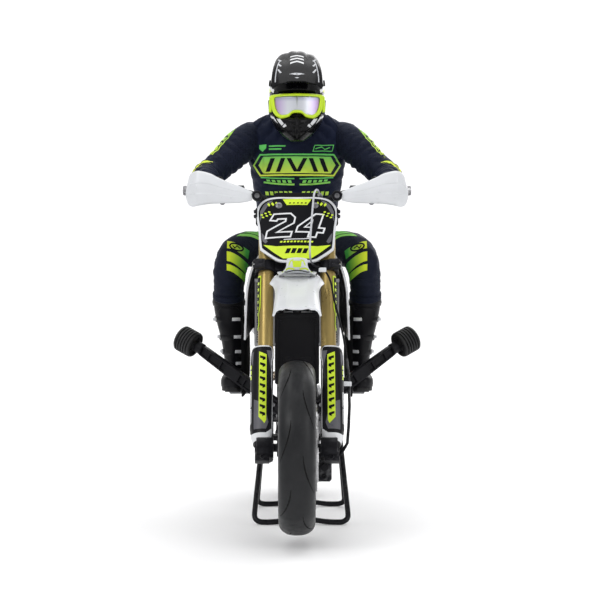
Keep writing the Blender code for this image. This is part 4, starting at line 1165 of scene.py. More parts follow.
def jersey():
    """The jersey's body with its folds, collar and seams; sections are (y, z, half width, half depth)."""
    sections = [(262, 240.6, 24, 20), (258, 256, 29.5, 23.5), (250, 272, 33, 24), (242, 288, 36, 24.3),
                (233, 308, 41, 24.8), (222, 336, 46, 25.6), (213, 357, 48.5, 24.5), (209, 373, 50, 20.5),
                (207, 383, 45.5, 16), (205, 390, 33, 12.5), (203, 394.5, 20, 10)]
    made = lofted("jersey", JERSEY, sections, 96, 2.3, 7)
    swell(made, cap=1.6, pressure=3.0)
    folds = [((side * 46, 196, 350), (-side * 0.6, 0, 1), 9, 1.3, 24) for side in (1, -1)]
    folds += [((side * 34, 205, 300), (0.25 * side, 0, 1), 10, 1.2, 26) for side in (1, -1)]
    folds += [((24, 190, 373), (0.7, 0, 0.75), 9.5, 1.5, 17), ((-28, 190, 372), (-0.8, 0, 0.6), 11, 1.2, 18)]
    folds += [((0, 245, 262), (0, 0.3, 1), 9, 1.5, 34), ((0, 236, 350), (0.1, 0, 1), 15, 0.9, 40),
              ((6, 200, 312), (0.5, 0, 1), 11, 0.9, 26)]
    crumple(made, 0.8, 19, folds)
    wear(made, "chassis", "jersey", "rider_torso")
    collar = bmesh.new()
    ring = []
    for i in range(49):
        a = 2 * math.pi * i / 48
        ring.append(Vector((22.5 * math.cos(a), 199 + 15 * math.sin(a), 393.4 + 2.4 * math.sin(a))))
    sweep_into(collar, ring, 2.0, 12, 1.5)
    wear(keep(collar, "jersey_collar", TROUSERS), "chassis", "jersey")
    jersey_front(made)
    jersey_back(made)
    for side, side_name in SIDES.items():
        line = smooth_line([(side * 30, 186, 391), (side * 40, 190, 378), (side * 46, 196, 362),
                            (side * 47, 205, 348)], 10)
        place = from_front(made, 0.1)
        spots = [place(x, z) for x, _, z in line]
        seam = bmesh.new()
        sweep_into(seam, [spot for spot in spots if spot is not None], 0.45, 6)
        wear(keep(seam, f"jersey_seam_{side_name}", SLEEVE), "chassis", "jersey")


CHEST_RING = [(-42.2, 342), (-35.8, 351.8), (35.8, 351.8), (42.2, 342), (35.8, 332.2), (-35.8, 332.2)]


def jersey_front(made):
    """The chest's prints: a ringed panel with slanted bars, small badges above it and curved bands below."""
    def stamp(tag, mat, shapes, lift=0.3):
        stick(f"jersey_{tag}", mat, shapes, from_front(made, lift), 1.6, "chassis", "jersey")

    inner = [(-37.6, 342), (-32.8, 349.9), (32.8, 349.9), (37.6, 342), (32.8, 334.1), (-32.8, 334.1)]
    stamp("chest_ring", CHEST_PRINT, stroke(CHEST_RING, 1.5, closed=True))
    stamp("chest_panel", CHEST_PRINT, [inner])
    bars = []
    for x, lean in ((-26, 5), (-16, 5), (-4.5, -7), (4.5, 7), (16, -5), (26, -5)):
        foot, head = x - lean / 2, x + lean / 2
        bars.append([(foot - 2.1, 335.6), (foot + 2.1, 335.6), (head + 2.1, 348.4), (head - 2.1, 348.4)])
    stamp("chest_bars", CLOTH_INK, bars, 0.5)
    shield = [(-36.8, 361), (-29.6, 361.4), (-30, 357.8), (-33.4, 354.6), (-36.6, 357.4)]
    lines = []
    for z, d in ((359.8, 0), (356.9, 4)):
        lines.append([(-27.4, z + 0.7), (-11 - d, z + 0.7), (-11.4 - d, z - 0.7), (-27.4, z - 0.7)])
    tag = stroke([(15.4, 354.8), (17.4, 360.4), (35.6, 360.8), (34, 355.2)], 0.75, closed=True)
    squiggle = stroke([(18, 357.2), (24, 359), (27, 356.6), (32, 358.6)], 0.8)
    stamp("badges", BAND_PRINT, [shield] + lines + tag + squiggle)
    bands = []
    eighths = [i / 8 for i in range(9)]
    for side in SIDES:
        bands += stroke([(side * (2.5 + 33 * s), 328.9 + 1.4 * s * s) for s in eighths], 1.1)
        bands += stroke([(side * (2.5 + 30 * s), 323.2 + 2.6 * s * s) for s in eighths], 1.6)
        for i in range(5):
            u, rise = 5.2 * i, i * i
            bands.append([(side * (6 + u), 327.4 + 0.05 * rise), (side * (9.4 + u), 327.5 + 0.05 * rise),
                          (side * (8.4 + u), 324.8 + 0.1 * rise), (side * (5 + u), 324.7 + 0.1 * rise)])
        for i in range(6):
            u = 4.6 * i
            bands.append([(side * (5 + u), 316.6), (side * (8.2 + u), 316.9), (side * (7.6 + u), 313.4),
                          (side * (4.4 + u), 313.2)])
    stamp("bands", BAND_PRINT, bands)


def jersey_back(made):
    """The back's prints: a ring, slanted bars and three hoops."""
    behind = ray_place(made, (0, -1, 0), (0, 330, 0), X, Z, 0.3)
    ring = stroke([(x * 0.82, z + 8) for x, z in CHEST_RING], 1.4, closed=True)
    slants = [[(x - 3, 344), (x + 2.4, 344), (x + 5.4, 356), (x, 356)] for x in (-22, -13, -4, 5, 14)]
    hoops = []
    for z, half in ((326, 30), (319, 24), (312, 17)):
        hoops += stroke([(half * s, z - 4 * (1 - s * s)) for s in (k / 5 for k in range(-5, 6))], 2.0)
    for tag, mat, shapes in (("ring", CHEST_PRINT, ring), ("bars", CHEST_PRINT, slants),
                             ("hoops", BAND_PRINT, hoops)):
        stick(f"jersey_back_{tag}", mat, shapes, behind, 1.8, "chassis", "jersey")


def column(values, steps):
    """Radii smoothed along a path."""
    return [r for (r,) in smooth_line([(value,) for value in values], steps)]


def sleeves(side, side_name):
    """The two halves of a sleeve, bent at shoulder and elbow, with their prints and the cuff."""
    upper_line = [(33, 210, 370), (45, 208, 368.6), (57, 202, 359.4), (67.6, 196, 348.4), (77, 191, 339.4),
                  (81.5, 188.6, 335)]
    lower_line = [(72, 193.6, 344), (77, 191, 339.4), (83, 187, 333.6), (87, 181, 329), (88, 170, 325.6),
                  (87.4, 158, 321), (86, 147, 317.6), (84.4, 139, 315.2)]
    made, paths = {}, {}
    for part, line, radii in (("upper", upper_line, (13.5, 16.6, 16.4, 15.0, 13.6, 12.4)),
                              ("lower", lower_line, (13.4, 14.2, 14.2, 14.0, 13.6, 13.0, 12.4, 11.8))):
        paths[part] = [mirror(side, p) for p in smooth_line(line, 8)]
        bm = bmesh.new()
        sweep_into(bm, paths[part], column(radii, 8), 64)
        made[part] = keep(bm, f"sleeve_{part}_{side_name}", SLEEVE)
    for part in made.values():
        swell(part, 2.6, 1.2)
    shoulder, elbow = mirror(side, SHOULDER), mirror(side, ELBOW)
    along = elbow - shoulder
    crumple(made["upper"], 0.7, 15, [(mirror(side, (50, 196, 352)), (side * 0.5, -0.3, -0.8), 7.5, 1.1, 18),
                                     (mirror(side, (72, 193, 345)), along, 8.5, 0.9, 22)])
    crumple(made["lower"], 0.7, 13, [(mirror(side, (80, 176, 326)), (0, -1, -0.3), 6.5, 1.3, 17),
                                     (mirror(side, (90, 158, 321)), (0, -1, -0.3), 8, 0.9, 20),
                                     (mirror(side, (93, 182, 330)), (side * 0.7, -0.5, -0.6), 8, 0.8, 18)])
    up_dir, fore_dir = along.normalized(), (mirror(side, HAND) - elbow).normalized()
    arm, forearm = f"upper_arm_{side_name}", f"forearm_{side_name}"
    joints = {"upper": ("chassis", f"{arm}_body", shoulder - up_dir * 7, shoulder + up_dir * 13),
              "lower": (f"{arm}_body", f"{forearm}_body", elbow - up_dir * 13, elbow + fore_dir * 15)}

    def bend(piece, part):
        """Bakes the piece's transform into its mesh."""
        near, far, start, end = joints[part]
        tuple(row(start))
        tuple(row(end))
        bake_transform(piece)

    for part, node in (("upper", arm), ("lower", forearm)):
        bend(made[part], part)
        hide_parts(node)
    for tag, shapes, part in sleeve_prints(-side):
        place = cast_round(made[part], paths[part])
        bend(decal(f"sleeve_{tag}_{side_name}", SLEEVE_PRINT, shapes, place, 2.0), part)
    end, before = paths["lower"][-1], paths["lower"][-4]
    profile = [(-5, 9), (-5, 12.6), (-3.5, 13.4), (-0.5, 13.2), (1.6, 12.2), (1.6, 9)]
    cuff = spun(f"sleeve_cuff_{side_name}", TROUSERS, profile, end, (end - before).normalized(), 48)
    wear(cuff, f"{forearm}_body", "jersey")


def sleeve_prints(spin):
    """(name, outlines, part) for a sleeve: u runs along the arm in millimetres, v round it in degrees."""
    ring = [(22, 66), (27, 88), (40, 92), (50, 84), (60, 78), (60, 56), (48, 54), (34, 52)]
    blocks = []
    for u in (27 + 6.6 * i for i in range(5)):
        blocks.append([(u, spin * 60), (u + 4.6, spin * 64), (u + 3.0, spin * 74), (u + 5.4, spin * 84),
                       (u + 1.0, spin * 82), (u - 1.2, spin * 70)])
    stripes = []
    for low, high in ((14, 17.5), (20, 22.5), (26, 30), (33, 34.8)):
        stripes.append([(low, spin * 20), (low + 4, spin * 55), (low + 8, spin * 95), (high + 8, spin * 95),
                        (high + 4, spin * 55), (high - 1.5, spin * 20)])
    return (("ring", stroke_round([(u, spin * v) for u, v in ring]), "upper"), ("blocks", blocks, "upper"),
            ("stripes", stripes, "lower"))


def stroke_round(ring):
    """A closed line on a limb, where u is in millimetres and v in degrees."""
    half_u, half_v = 1.0, 2.6
    made = []
    for p, q in zip(ring, ring[1:] + ring[:1]):
        u, v = (0.0, half_v) if abs(q[0] - p[0]) > abs(q[1] - p[1]) * 0.35 else (half_u, 0.0)
        made.append([(p[0] - u, p[1] - v), (q[0] - u, q[1] - v), (q[0] + u, q[1] + v), (p[0] + u, p[1] + v)])
    return made


def trousers(side, side_name):
    """One trouser leg from the hip over the bent knee to its hem in the boot."""
    line = [(17, 264, 253), (26, 244, 257), (40, 210, 260), (52, 180, 259), (59, 164, 253), (63.5, 158, 241),
            (65, 163, 226), (65.5, 168, 213)]
    path = [mirror(side, p) for p in smooth_line(line, 8)]
    bm = bmesh.new()
    sweep_into(bm, path, column((15.0, 18.0, 17.6, 16.8, 16.4, 15.8, 14.8, 13.9), 8), 72)
    made = keep(bm, f"trousers_{side_name}", TROUSERS)
    swell(made, 2.8, 1.4)
    crumple(made, 0.75, 17, [(mirror(side, (55, 178, 243)), (0, 0.6, 1), 8, 1.3, 17),
                             (mirror(side, (30, 240, 262)), (side * 0.6, -1, 0), 10, 1.2, 20),
                             (mirror(side, (66, 165, 218)), (0, 0.1, 1), 7, 0.9, 14),
                             (mirror(side, (70, 165, 240)), (0, 0.3, 1), 10, 0.6, 16)])
    wear(made, "chassis", "jersey", f"rider_leg_{side_name}")
    trouser_prints(made, side, side_name)
    profile = [(-5, 12), (-5, 14.9), (-4, 15.4), (0.5, 15.2), (1.5, 14.2), (1.5, 12)]
    hem = spun(f"trouser_hem_{side_name}", TROUSERS, profile, path[-1], path[-1] - path[-3], 48)
    wear(hem, "chassis", "jersey")
    rows = []
    for z in (224, 227, 230):
        back = 0.02 * (z - 240) ** 2 * 0.6
        rows.append([mirror(side, (63 + 12.6 * math.sin(a), 157 - 13.4 * math.cos(a) + back, z))
                     for a in (math.radians(-46 + 9.2 * i) for i in range(11))])
    bm = bmesh.new()
    sheet_into(bm, rows, 0.8)
    wear(keep(bm, f"knee_gusset_{side_name}", TROUSERS), "chassis", "jersey")


def trouser_prints(made, side, side_name):
    """Curved bands over the knee, a loop with a squiggle in it, and four bands up the thigh."""
    out = mirror(side, X)
    knee = printed(f"knee print {side_name}", (0.62, 0.74, 0.02), 0.7, (0.03, 0.34, 0.05), side * 0.064,
                   side * 0.048, "X", True)
    bands = []
    for top, low, drop in ((266.5, 259.5, 9.5), (256.6, 247.5, 13.5), (244.6, 238.6, 14.0)):
        sixths = [i / 6 for i in range(7)]
        upper = [(66.4 - 21 * s, top - drop * s ** 1.7) for s in sixths]
        lower = [(66.2 - 19.5 * s, low - drop * 1.1 * s ** 1.7) for s in sixths]
        bands.append(upper + lower[::-1])
    loop = []
    for a in turns(16):
        u = 6.2 * math.cos(a)
        loop.append((57.4 + u, 260.4 + 3.2 * math.sin(a) + 0.25 * u))
    squiggle = stroke([(54, 259), (57, 261.6), (59, 259.4), (61, 262)], 1.0)
    thigh = [[(34, 10), (38, 13), (54, 2), (58, -6), (52, -4), (44, 3)],
             [(32, 20), (35, 24), (48, 15), (53, 7), (46, 9), (38, 15)],
             [(28, 31), (31, 35), (43, 27), (48, 20), (41, 21), (34, 26)],
             [(24, 42), (27, 46), (38, 40), (43, 33), (36, 33), (29, 38)]]
    on_thigh = ray_place(made, (0, 0.35, -0.94), (0, 150, 320), out, Vector((0, 0.94, 0.35)), 0.3)
    for tag, mat, shapes, place, cell in (
        ("knee_bands", knee, bands, from_front(made, 0.3, out), 1.6),
        ("knee_loop", CLOTH_INK, stroke(loop, 1.5, True) + squiggle, from_front(made, 0.5, out), 1.2),
        ("thigh_bands", KNEE_PRINT, thigh, on_thigh, 2.0),
    ):
        stick(f"{tag}_{side_name}", mat, shapes, place, cell, "chassis", "jersey")


SHAFT = smooth_line([(65.5, 170, 214), (65.2, 171, 206), (64.0, 176, 192), (62.0, 184, 175), (60.6, 193, 158),
                     (60, 201, 145), (60, 205, 137)], 6)
SHAFT_RADII = column((13.8, 14.6, 13.6, 11.8, 10.6, 10.2, 10.2), 6)
STRAP_HEIGHTS = (192, 174, 160, 149)


def shaft_at(side, height):
    """The centre and radius of a boot's shaft nearest to a height."""
    path = [mirror(side, p) for p in SHAFT]
    k = min(range(len(path)), key=lambda i: abs(path[i][2] - height))
    return path[k], SHAFT_RADII[k]


def boot_body(side):
    """The shaft and the foot."""
    bm = bmesh.new()
    sweep_into(bm, [mirror(side, p) for p in SHAFT], SHAFT_RADII, 48)
    foot = [(60.4, 227, 134, 6.5, 7), (60.4, 222, 135, 9, 10), (60.4, 208, 136, 10.2, 12),
            (60.6, 192, 134.6, 10.4, 11), (61, 176, 133.2, 10.6, 9.2), (61.4, 162, 132.6, 10.6, 8.2),
            (61.4, 151, 132, 8.6, 7), (61.2, 146.5, 131.6, 5, 4.6)]
    skin(bm, [oval(mirror(side, (x, y, z)), X, Z, a, b, 48, 2.5) for x, y, z, a, b in smooth_line(foot, 5)])
    return bm


def boot_sole(side):
    """The sole's outline from (x, y, half width) and its cleats, none of them where the footpeg is."""
    sole = smooth_line([(60.4, 226, 6), (60.4, 214, 9.6), (60.4, 198, 9.4), (60.8, 180, 9.8),
                        (61.4, 164, 10.6),
                        (61.4, 152, 8.8), (61.2, 146, 4.5)], 6)
    outline = [(x + a, y) for x, y, a in sole] + [(x - a, y) for x, y, a in reversed(sole)]
    bm = bmesh.new()
    skin(bm, [[mirror(side, (x, y, z)) for x, y in outline] for z in (124.2, 127.6)])
    for y in (152 + 8.6 * i for i in range(9)):
        if not 186 < y < 204:
            box_into(bm, mirror(side, (61, y, 123.9)), (7.4, 1.6, 0.7))
    return bm


def boot_straps(side):
    """Four straps across the shin and the collar."""
    bm = bmesh.new()
    bands = [(z - 2.6, z + 2.6, -70, 118, 1.3) for z in STRAP_HEIGHTS] + [(205, 212, -175, 175, 1.0)]
    for low, high, first, last, lift in bands:
        rows = []
        middle = (low + high) / 2
        for t in (low, middle, high):
            centre, r = shaft_at(side, t)
            reach = r + (lift if t == middle else lift - 0.4)
            rows.append([Vector((centre.x + side * math.sin(a) * reach, centre.y - math.cos(a) * reach, t))
                         for a in (math.radians(first + (last - first) * i / 20) for i in range(21))])
        sheet_into(bm, rows, 1.0)
    return bm


def boot_shin_plate(side):
    """The plate down the front of the shaft."""
    rows = []
    for t in (154, 160, 168, 176, 184, 192, 199, 203):
        centre, r = shaft_at(side, t)
        spread = 44 if 156 < t < 200 else 30
        line = []
        for a in (math.radians(-spread + spread * i / 7) for i in range(15)):
            ahead = math.cos(a) * (r + 1.5 - 1.1 * abs(math.sin(a)))
            line.append(Vector((centre.x + side * math.sin(a) * (r + 0.9), centre.y - ahead, t)))
        rows.append(line)
    bm = bmesh.new()
    sheet_into(bm, rows, 1.3)
    return bm


def boot_calf_pad(side):
    """The inner pad between the boot and the machine; its rings are (z, y, how far it stands out)."""
    rings = []
    for z, y, out in ((118, 170, 2.0), (124, 168, 6.5), (140, 166, 8.0), (158, 165, 8.4), (176, 164, 8.0),
                      (190, 164, 6.0), (196, 164, 2.0)):
        reach = 13 if 120 < z < 194 else 9
        rings.append([Vector((side * (53 - max(0.0, out * math.cos(a))), y + reach * math.sin(a), z))
                      for a in turns(28)])
    bm = bmesh.new()
    skin(bm, rings)
    return bm


def boot_buckles(side):
    """Two buckles with their latches on each strap."""
    bm = bmesh.new()
    for z in STRAP_HEIGHTS:
        middle, r = shaft_at(side, z)
        for angle, half in ((70, 3.0), (-22, 4.0)):
            a = math.radians(angle)
            out = Vector((side * math.sin(a), -math.cos(a), 0))
            centre = middle + out * (r + 2.3)
            turn = Matrix((out.cross(Z), out, Z)).transposed()
            box_into(bm, centre, (half, 0.8, 1.6), turn)
            box_into(bm, centre + out * 0.9, (half * 0.6, 0.5, 0.8), turn)
    return bm


def boot_toe_cap(side):
    """The cap round the toe and four stitched welts behind it."""
    bm = bmesh.new()
    for i in range(4):
        y, high = 160 + 8 * i, 8.9 + 0.12 * i * i
        ring = []
        for a in (math.pi * j / 20 for j in range(21)):
            spot = (61.2 + 10.9 * math.cos(a), y + 4 * math.cos(a) ** 2, 132.8 + high * math.sin(a))
            ring.append(mirror(side, spot))
        sweep_into(bm, ring, 0.7, 8)
    sections = ((157, 11.2, 8.6), (152, 9.6, 7.8), (147, 6.2, 5.6), (145.4, 3, 3))
    skin(bm, [oval(mirror(side, (61.3, y, 131.6)), X, Z, a, b, 40, 2.4) for y, a, b in sections])
    return bm


def boots(side, side_name):
    """A motocross boot as its separate pieces."""
    wear(keep(boot_body(side), f"boot_{side_name}", BOOT), "chassis", "boot", f"boot_{side_name}")
    for part, make, mat, finish in (
        ("sole", boot_sole, RIB_RUBBER, {"bevel": 0.3}),
        ("straps", boot_straps, SATIN, {"bevel": 0.25}),
        ("shin_plate", boot_shin_plate, BOOT, {"bevel": 0.3}),
        ("calf_pad", boot_calf_pad, SHELL_MATT, {"smooth": 50}),
        ("buckles", boot_buckles, BUCKLE, {"bevel": 0.25}),
        ("toe_cap", boot_toe_cap, SATIN, {}),
    ):
        wear(keep(make(side), f"boot_{part}_{side_name}", mat, **finish), "chassis", "boot")


def gloves(side, side_name):
    """A hand closed round the grip: four fingers, palm, wrist and thumb, with pads on the knuckles."""
    along = (in_fork(side * 101, 3.5, 262.8) - in_fork(side * 66, 1.5, 261)).normalized()
    centre = in_fork(side * 82, 2.4, 261.8)
    front = -Y - along * along.dot(-Y)
    front.normalize()
    up = along.cross(front) * (1 if along.cross(front).z > 0 else -1)
    bm = bmesh.new()
    for i in range(4):
        middle = centre + along * (-9.4 + 6.2 * i)
        reach = (9.6, 10.2, 10.0, 9.2)[i]
        angles = [math.radians(-30 + 15 * j) for j in range(15)]
        arc = [middle + (front * math.sin(a) + up * math.cos(a)) * reach for a in angles]
        sweep_into(bm, arc, [2.6] + [3.1] * 5 + [2.9] * 5 + [2.7, 2.5, 2.2, 1.5], 16)
    palm = smooth_line([(-13, 4.5), (-12, 8.6), (-8, 10.4), (0, 11.2), (8, 10.6), (12, 8.8), (13, 5)], 4)
    skin(bm, [oval(centre - front * 4.2 + up * 1.6 + along * a, front, up, r * 0.92, r * 0.86, 32, 2.3)
              for a, r in palm])
    wrist = centre - front * 10 + up * 2.2
    sweep_into(bm, [wrist + front * 6, wrist, wrist - front * 6], [8.5, 10.2, 11.2], 32)
    thumb = [centre - along * 9 - front * 6 - up * 6, centre - along * 12.4 - up * 9.6,
             centre - along * 12.8 + front * 6 - up * 8.6]
    sweep_into(bm, smooth_line(thumb, 5), 3.1, 16)
    hand = keep(bm, f"glove_{side_name}", GLOVE)
    wear(hand, "steering", "jersey", f"glove_{side_name}")
    bm = bmesh.new()
    for i in range(4):
        knuckle = centre + along * (-9.4 + 6.2 * i) + (front * 0.1 + up) * 12.6
        skin(bm, [oval(knuckle + up * h, along, front, a, b, 16, 3) for h, a,
                  b in ((-1.4, 2.5, 4.6), (0.4, 2.4, 4.4), (1.0, 1.6, 3.2))])
    wear(keep(bm, f"knuckle_pads_{side_name}", SATIN, bevel=0.2), "steering", "jersey")


jersey()
for garment in (sleeves, trousers, boots, gloves):
    for side_of, side_label in SIDES.items():
        garment(side_of, side_label)


# ---- helmet, peak and goggles --------------------------------------------------------------------
def clamp(value):
    """A value held between 0 and 1."""
    return max(0.0, min(1.0, value))


def helmet():
    """The shell: keeled at the chin, creased along the crown and cut in at the eye port."""
    sections = [(160, 362, 6.5, 9.5), (163, 366, 12, 17), (165.5, 370, 16.4, 22.4), (169, 374.5, 20, 26.6),
                (172, 379, 22.8, 30), (176, 385, 25, 32.6), (179, 391, 25.6, 34.2), (185, 404, 26.6, 35.2),
                (187.5, 412, 26.6, 35), (189, 420, 26.0, 34.2), (191, 432, 23.0, 30.2),
                (192, 439, 18.6, 24.4),
                (192, 443.4, 12.6, 17), (192, 446.2, 4, 6)]
    port_low, port_high = 381.5, 410
    rings = []
    for y, z, a, b in smooth_line(sections, 6):
        ring = []
        keel = clamp((388 - z) / 20)
        for angle in turns(96, 0.5):
            c, s = math.cos(angle), math.sin(angle)
            power = 2.15 - 0.55 * keel * max(0.0, -s)
            px, py = flatten(c, 2 / power) * a, flatten(s, 2 / power) * b
            crest = 0.035 * math.exp(-((abs(px) - 13) / 3.2) ** 2) * clamp((z - 408) / 12) * max(0.0, s + 0.4)
            inset = 1.0
            if s < 0 and port_low < z < port_high:
                depth = min(1.0, (z - port_low) / 2.5, (port_high - z) / 2.5)
                inset = 1 - 0.16 * depth * clamp((24 - abs(px)) / 4)
            ring.append(Vector((px * (1.0 + crest), y + py * (1.0 + crest) * inset, z)))
        rings.append(ring)
    bm = bmesh.new()
    skin(bm, rings)
    made = keep(bm, "helmet", SHELL, smooth=50)
    wear(made, "chassis", "helmet", "helmet")
    front = from_front(made, 0.25)
    chin = smooth_line([(1, 363.2), (7, 368), (13, 374), (18.5, 380.4), (22.4, 388)], 6)
    for side, side_name in SIDES.items():
        edge = [front(side * x, z) for x, z in chin]
        trim(f"helmet_chin_line_{side_name}", SHELL_MATT, [spot for spot in edge if spot], 0.7)
        helmet_prints(made, side, side_name)
    helmet_trim(front)
    for side, side_name in SIDES.items():
        screw = bmesh.new()
        bolt_into(screw, (side * 25.4, 176, 419), (side, 0, 0.1), 3.0, 1.6)
        wear(keep(screw, f"visor_screw_{side_name}", SATIN), "chassis", "helmet")


def trim(name, mat, points, radius, flat=1.0):
    """A strip laid along the helmet."""
    bm = bmesh.new()
    sweep_into(bm, points, radius, 10, flat)
    wear(keep(bm, name, mat), "chassis", "helmet")


def helmet_trim(front):
    """Vents at the mouth, a ridge for the nose and the neck roll."""
    bm = bmesh.new()
    for side in SIDES:
        for low, high, wide in ((371.5, 373, 4.6), (375.4, 377.0, 6.6), (379.4, 381, 7.6)):
            corners = ((1.4, low), (wide, high), (wide - 0.6, high + 1.1), (1.4, low + 1.2))
            spots = [front(side * x, z) for x, z in corners]
            skin(bm, [[spot + Vector((0, y, 0)) for spot in spots] for y in (1.2, -0.45)])
    wear(keep(bm, "helmet_mouth_vents", GROOVE), "chassis", "helmet")
    ridge = [front(0.01, z) + Vector((0, -0.6, 0)) for z in (364, 368, 373, 378, 382.5)]
    trim("helmet_nose_ridge", SHELL, ridge, [0.8, 1.5, 2.0, 2.2, 1.6], 0.7)
    angles = [math.radians(12 + 7.8 * i) for i in range(21)]
    roll = [Vector((24.2 * math.cos(a), 187 + 27 * math.sin(a), 373 + 4.4 * math.sin(a))) for a in angles]
    trim("helmet_neck_roll", SMOKE, roll, 2.2)


def helmet_prints(made, side, side_name):
    """Stripes and blocks on one flank, and two chips on the cheek."""
    flank = [[(163, 398), (176, 404), (210, 406), (214, 398), (180, 394), (165, 390)],
             [(170, 411), (182, 418), (200, 421), (202, 414), (184, 410)]]
    stripes = (stroke([(150, 377), (160, 384), (176, 388), (200, 389)], 2.2)
               + stroke([(166, 410), (180, 416), (200, 420), (216, 416)], 3.2))
    lines = stroke([(170, 424), (186, 430), (204, 430)],
                   2.0) + stroke([(172, 398), (190, 401), (212, 398)], 1.2)
    cheek = [[(12.4, 377.6), (15.8, 382.2), (20.2, 383.4), (18.2, 379.6), (14.6, 375.6)],
             [(9.6, 375.2), (11.2, 377.4), (13.6, 375.4), (12.6, 373.8)]]
    cheek = [[(side * x, z) for x, z in shape] for shape in cheek]
    for tag, mat, shapes, place, cell in (
        ("flank", LIME, flank, from_side(made, side, 0.15, 60), 1.8),
        ("stripes", WHITE_PRINT, stripes, from_side(made, side, 0.25, 60), 1.8),
        ("lines", GREY_PRINT, lines, from_side(made, side, 0.25, 60), 1.8),
        ("cheek", WHITE_PRINT, cheek, from_front(made, 0.25), 1.2),
    ):
        stick(f"helmet_{tag}_{side_name}", mat, shapes, place, cell, "chassis", "helmet")


def peak():
    """The visor: three pressed planes with a raised middle, swept down over the brow."""
    spine = smooth_line([(196, 448.2, 12.6), (186, 449.4, 15.6), (170, 446.6, 19.2), (152, 435.8, 22.4),
                         (141, 424.4, 23.8), (133.0, 414.8, 23.4)], 6)
    spread = mirrored((0.2, 0.34, 0.4, 0.46, 0.56, 0.68, 0.8, 0.9, 0.97, 1))
    rows = []
    for k, (y, z, half) in enumerate(spine):
        share = k / (len(spine) - 1)
        line = []
        for s in spread:
            lip = 5.0 * max(0.0, abs(s) - 0.84) / 0.16 * (0.5 - 0.1 * share)
            drop = 2.2 * abs(s) ** 2.2 + 1.4 * share * s * s + lip
            raised = 1.5 * math.exp(-((abs(s) - 0.2) / 0.22) ** 4) if abs(s) < 0.46 else 0.0
            bow = 3.2 * share * s * s
            line.append(Vector((half * s, y + bow * 1.2, z - drop + raised * (1 - 0.5 * share))))
        rows.append(line)
    bm = bmesh.new()
    sheet_into(bm, rows, 1.3)
    made = keep(bm, "peak", SHELL, smooth=35, bevel=0.15)
    wear(made, "chassis", "helmet", "helmet_visor")
    spot = ray_place(made, (0, 0.55, -0.83), (0, 62.1, 523.9), X, Vector((0, 0.83, 0.55)), 0.2, 260)
    shapes = []
    for side in SIDES:
        for v in (13, 22, 31):
            shapes.append([(side * 14.4, v), (side * 17.4, v + 5.4), (side * 18.6, v + 5.0),
                           (side * 16.0, v - 0.6)])
    shapes += [[(-7.6, 8.4), (0, 10.2), (7.6, 8.4), (0, 6.8)], [(-2.2, 3.6), (0, 4.4), (2.2, 3.6), (0, 2.8)]]
    stick("peak_slots", SILVER_PRINT, shapes, spot, 1.4, "chassis", "helmet")
    chevrons = []
    for v in (22, 28, 34):
        chevrons.append([(-6.4, v), (0, v + 3.6), (6.4, v), (6.4, v + 2.4), (0, v + 6.0), (-6.4, v + 2.4)])
    stick("peak_chevrons", WHITE_PRINT, chevrons, spot, 1.4, "chassis", "helmet")
    for side, side_name in SIDES.items():
        line = [(side * (20.4 - 0.12 * i * i), 3 + 5 * i) for i in range(7)]
        stick(f"peak_edge_{side_name}", SILVER_PRINT, stroke(line, 1.0), spot, 2.0, "chassis", "helmet")
    bm = bmesh.new()
    rows = []
    for y, z in ((152, 431.5), (160, 427), (164, 414)):
        rows.append([Vector((17.5 * s, y + 2.5 * s * s, z - 3.6 * s * s))
                     for s in (-1, -0.6, -0.2, 0.2, 0.6, 1)])
    sheet_into(bm, rows, 1.2)
    wear(keep(bm, "peak_underside", SHELL_MATT), "chassis", "helmet")


def goggle_loop(half):
    """A closed (x, z) outline from the half of it with x above 0."""
    side = smooth_line(half, 8)
    return side + [(-x, z) for x, z in reversed(side[1:-1])]


def goggle_front(x):
    """How far back the goggles' bowed front is."""
    return 145.4 + 11.5 * (x / 27) ** 2


def goggle_ring(points, back, grow=0.0):
    """An outline as points behind the front, a little larger or smaller."""
    return [Vector((x * (1 + grow / 27), goggle_front(x) + back, z + grow * (1 if z > 396 else -1) * 0.6))
            for x, z in points]


GOGGLE_RIM = goggle_loop([(0, 387.6), (4.6, 386.8), (8.4, 383.6), (15.0, 382.6), (20.6, 385.8), (24.0, 391.4),
                          (25.6, 398.4), (25.8, 404.6), (19, 406), (0, 406.3)])
GOGGLE_LENS = goggle_loop([(0, 390.4), (4.4, 389.6), (8.6, 386.6), (14.2, 385.9), (18.2, 388.4),
                           (20.4, 393.2),
                           (21.3, 398.4), (20.9, 402.6), (15, 403.4), (0, 403.6)])


def goggle_frame():
    """The lime frame round the lens."""
    rim, lens = GOGGLE_RIM, GOGGLE_LENS
    middle = [((a[0] + b[0]) / 2, (a[1] + b[1]) / 2) for a, b in zip(rim, lens)]
    rings = [goggle_ring(rim, 7.5, -0.6), goggle_ring(rim, 1.6), goggle_ring(rim, 0.0, -0.5),
             goggle_ring(middle, -0.9), goggle_ring(lens, -0.6, 0.3), goggle_ring(lens, 0.6),
             goggle_ring(lens, 3.0)]
    bm = bmesh.new()
    loops = skin(bm, rings, caps=False)
    join_rings(bm, loops[-1], loops[0])
    wear(keep(bm, "goggle_frame", LIME_PLASTIC, smooth=60), "chassis", "goggle", "goggles")


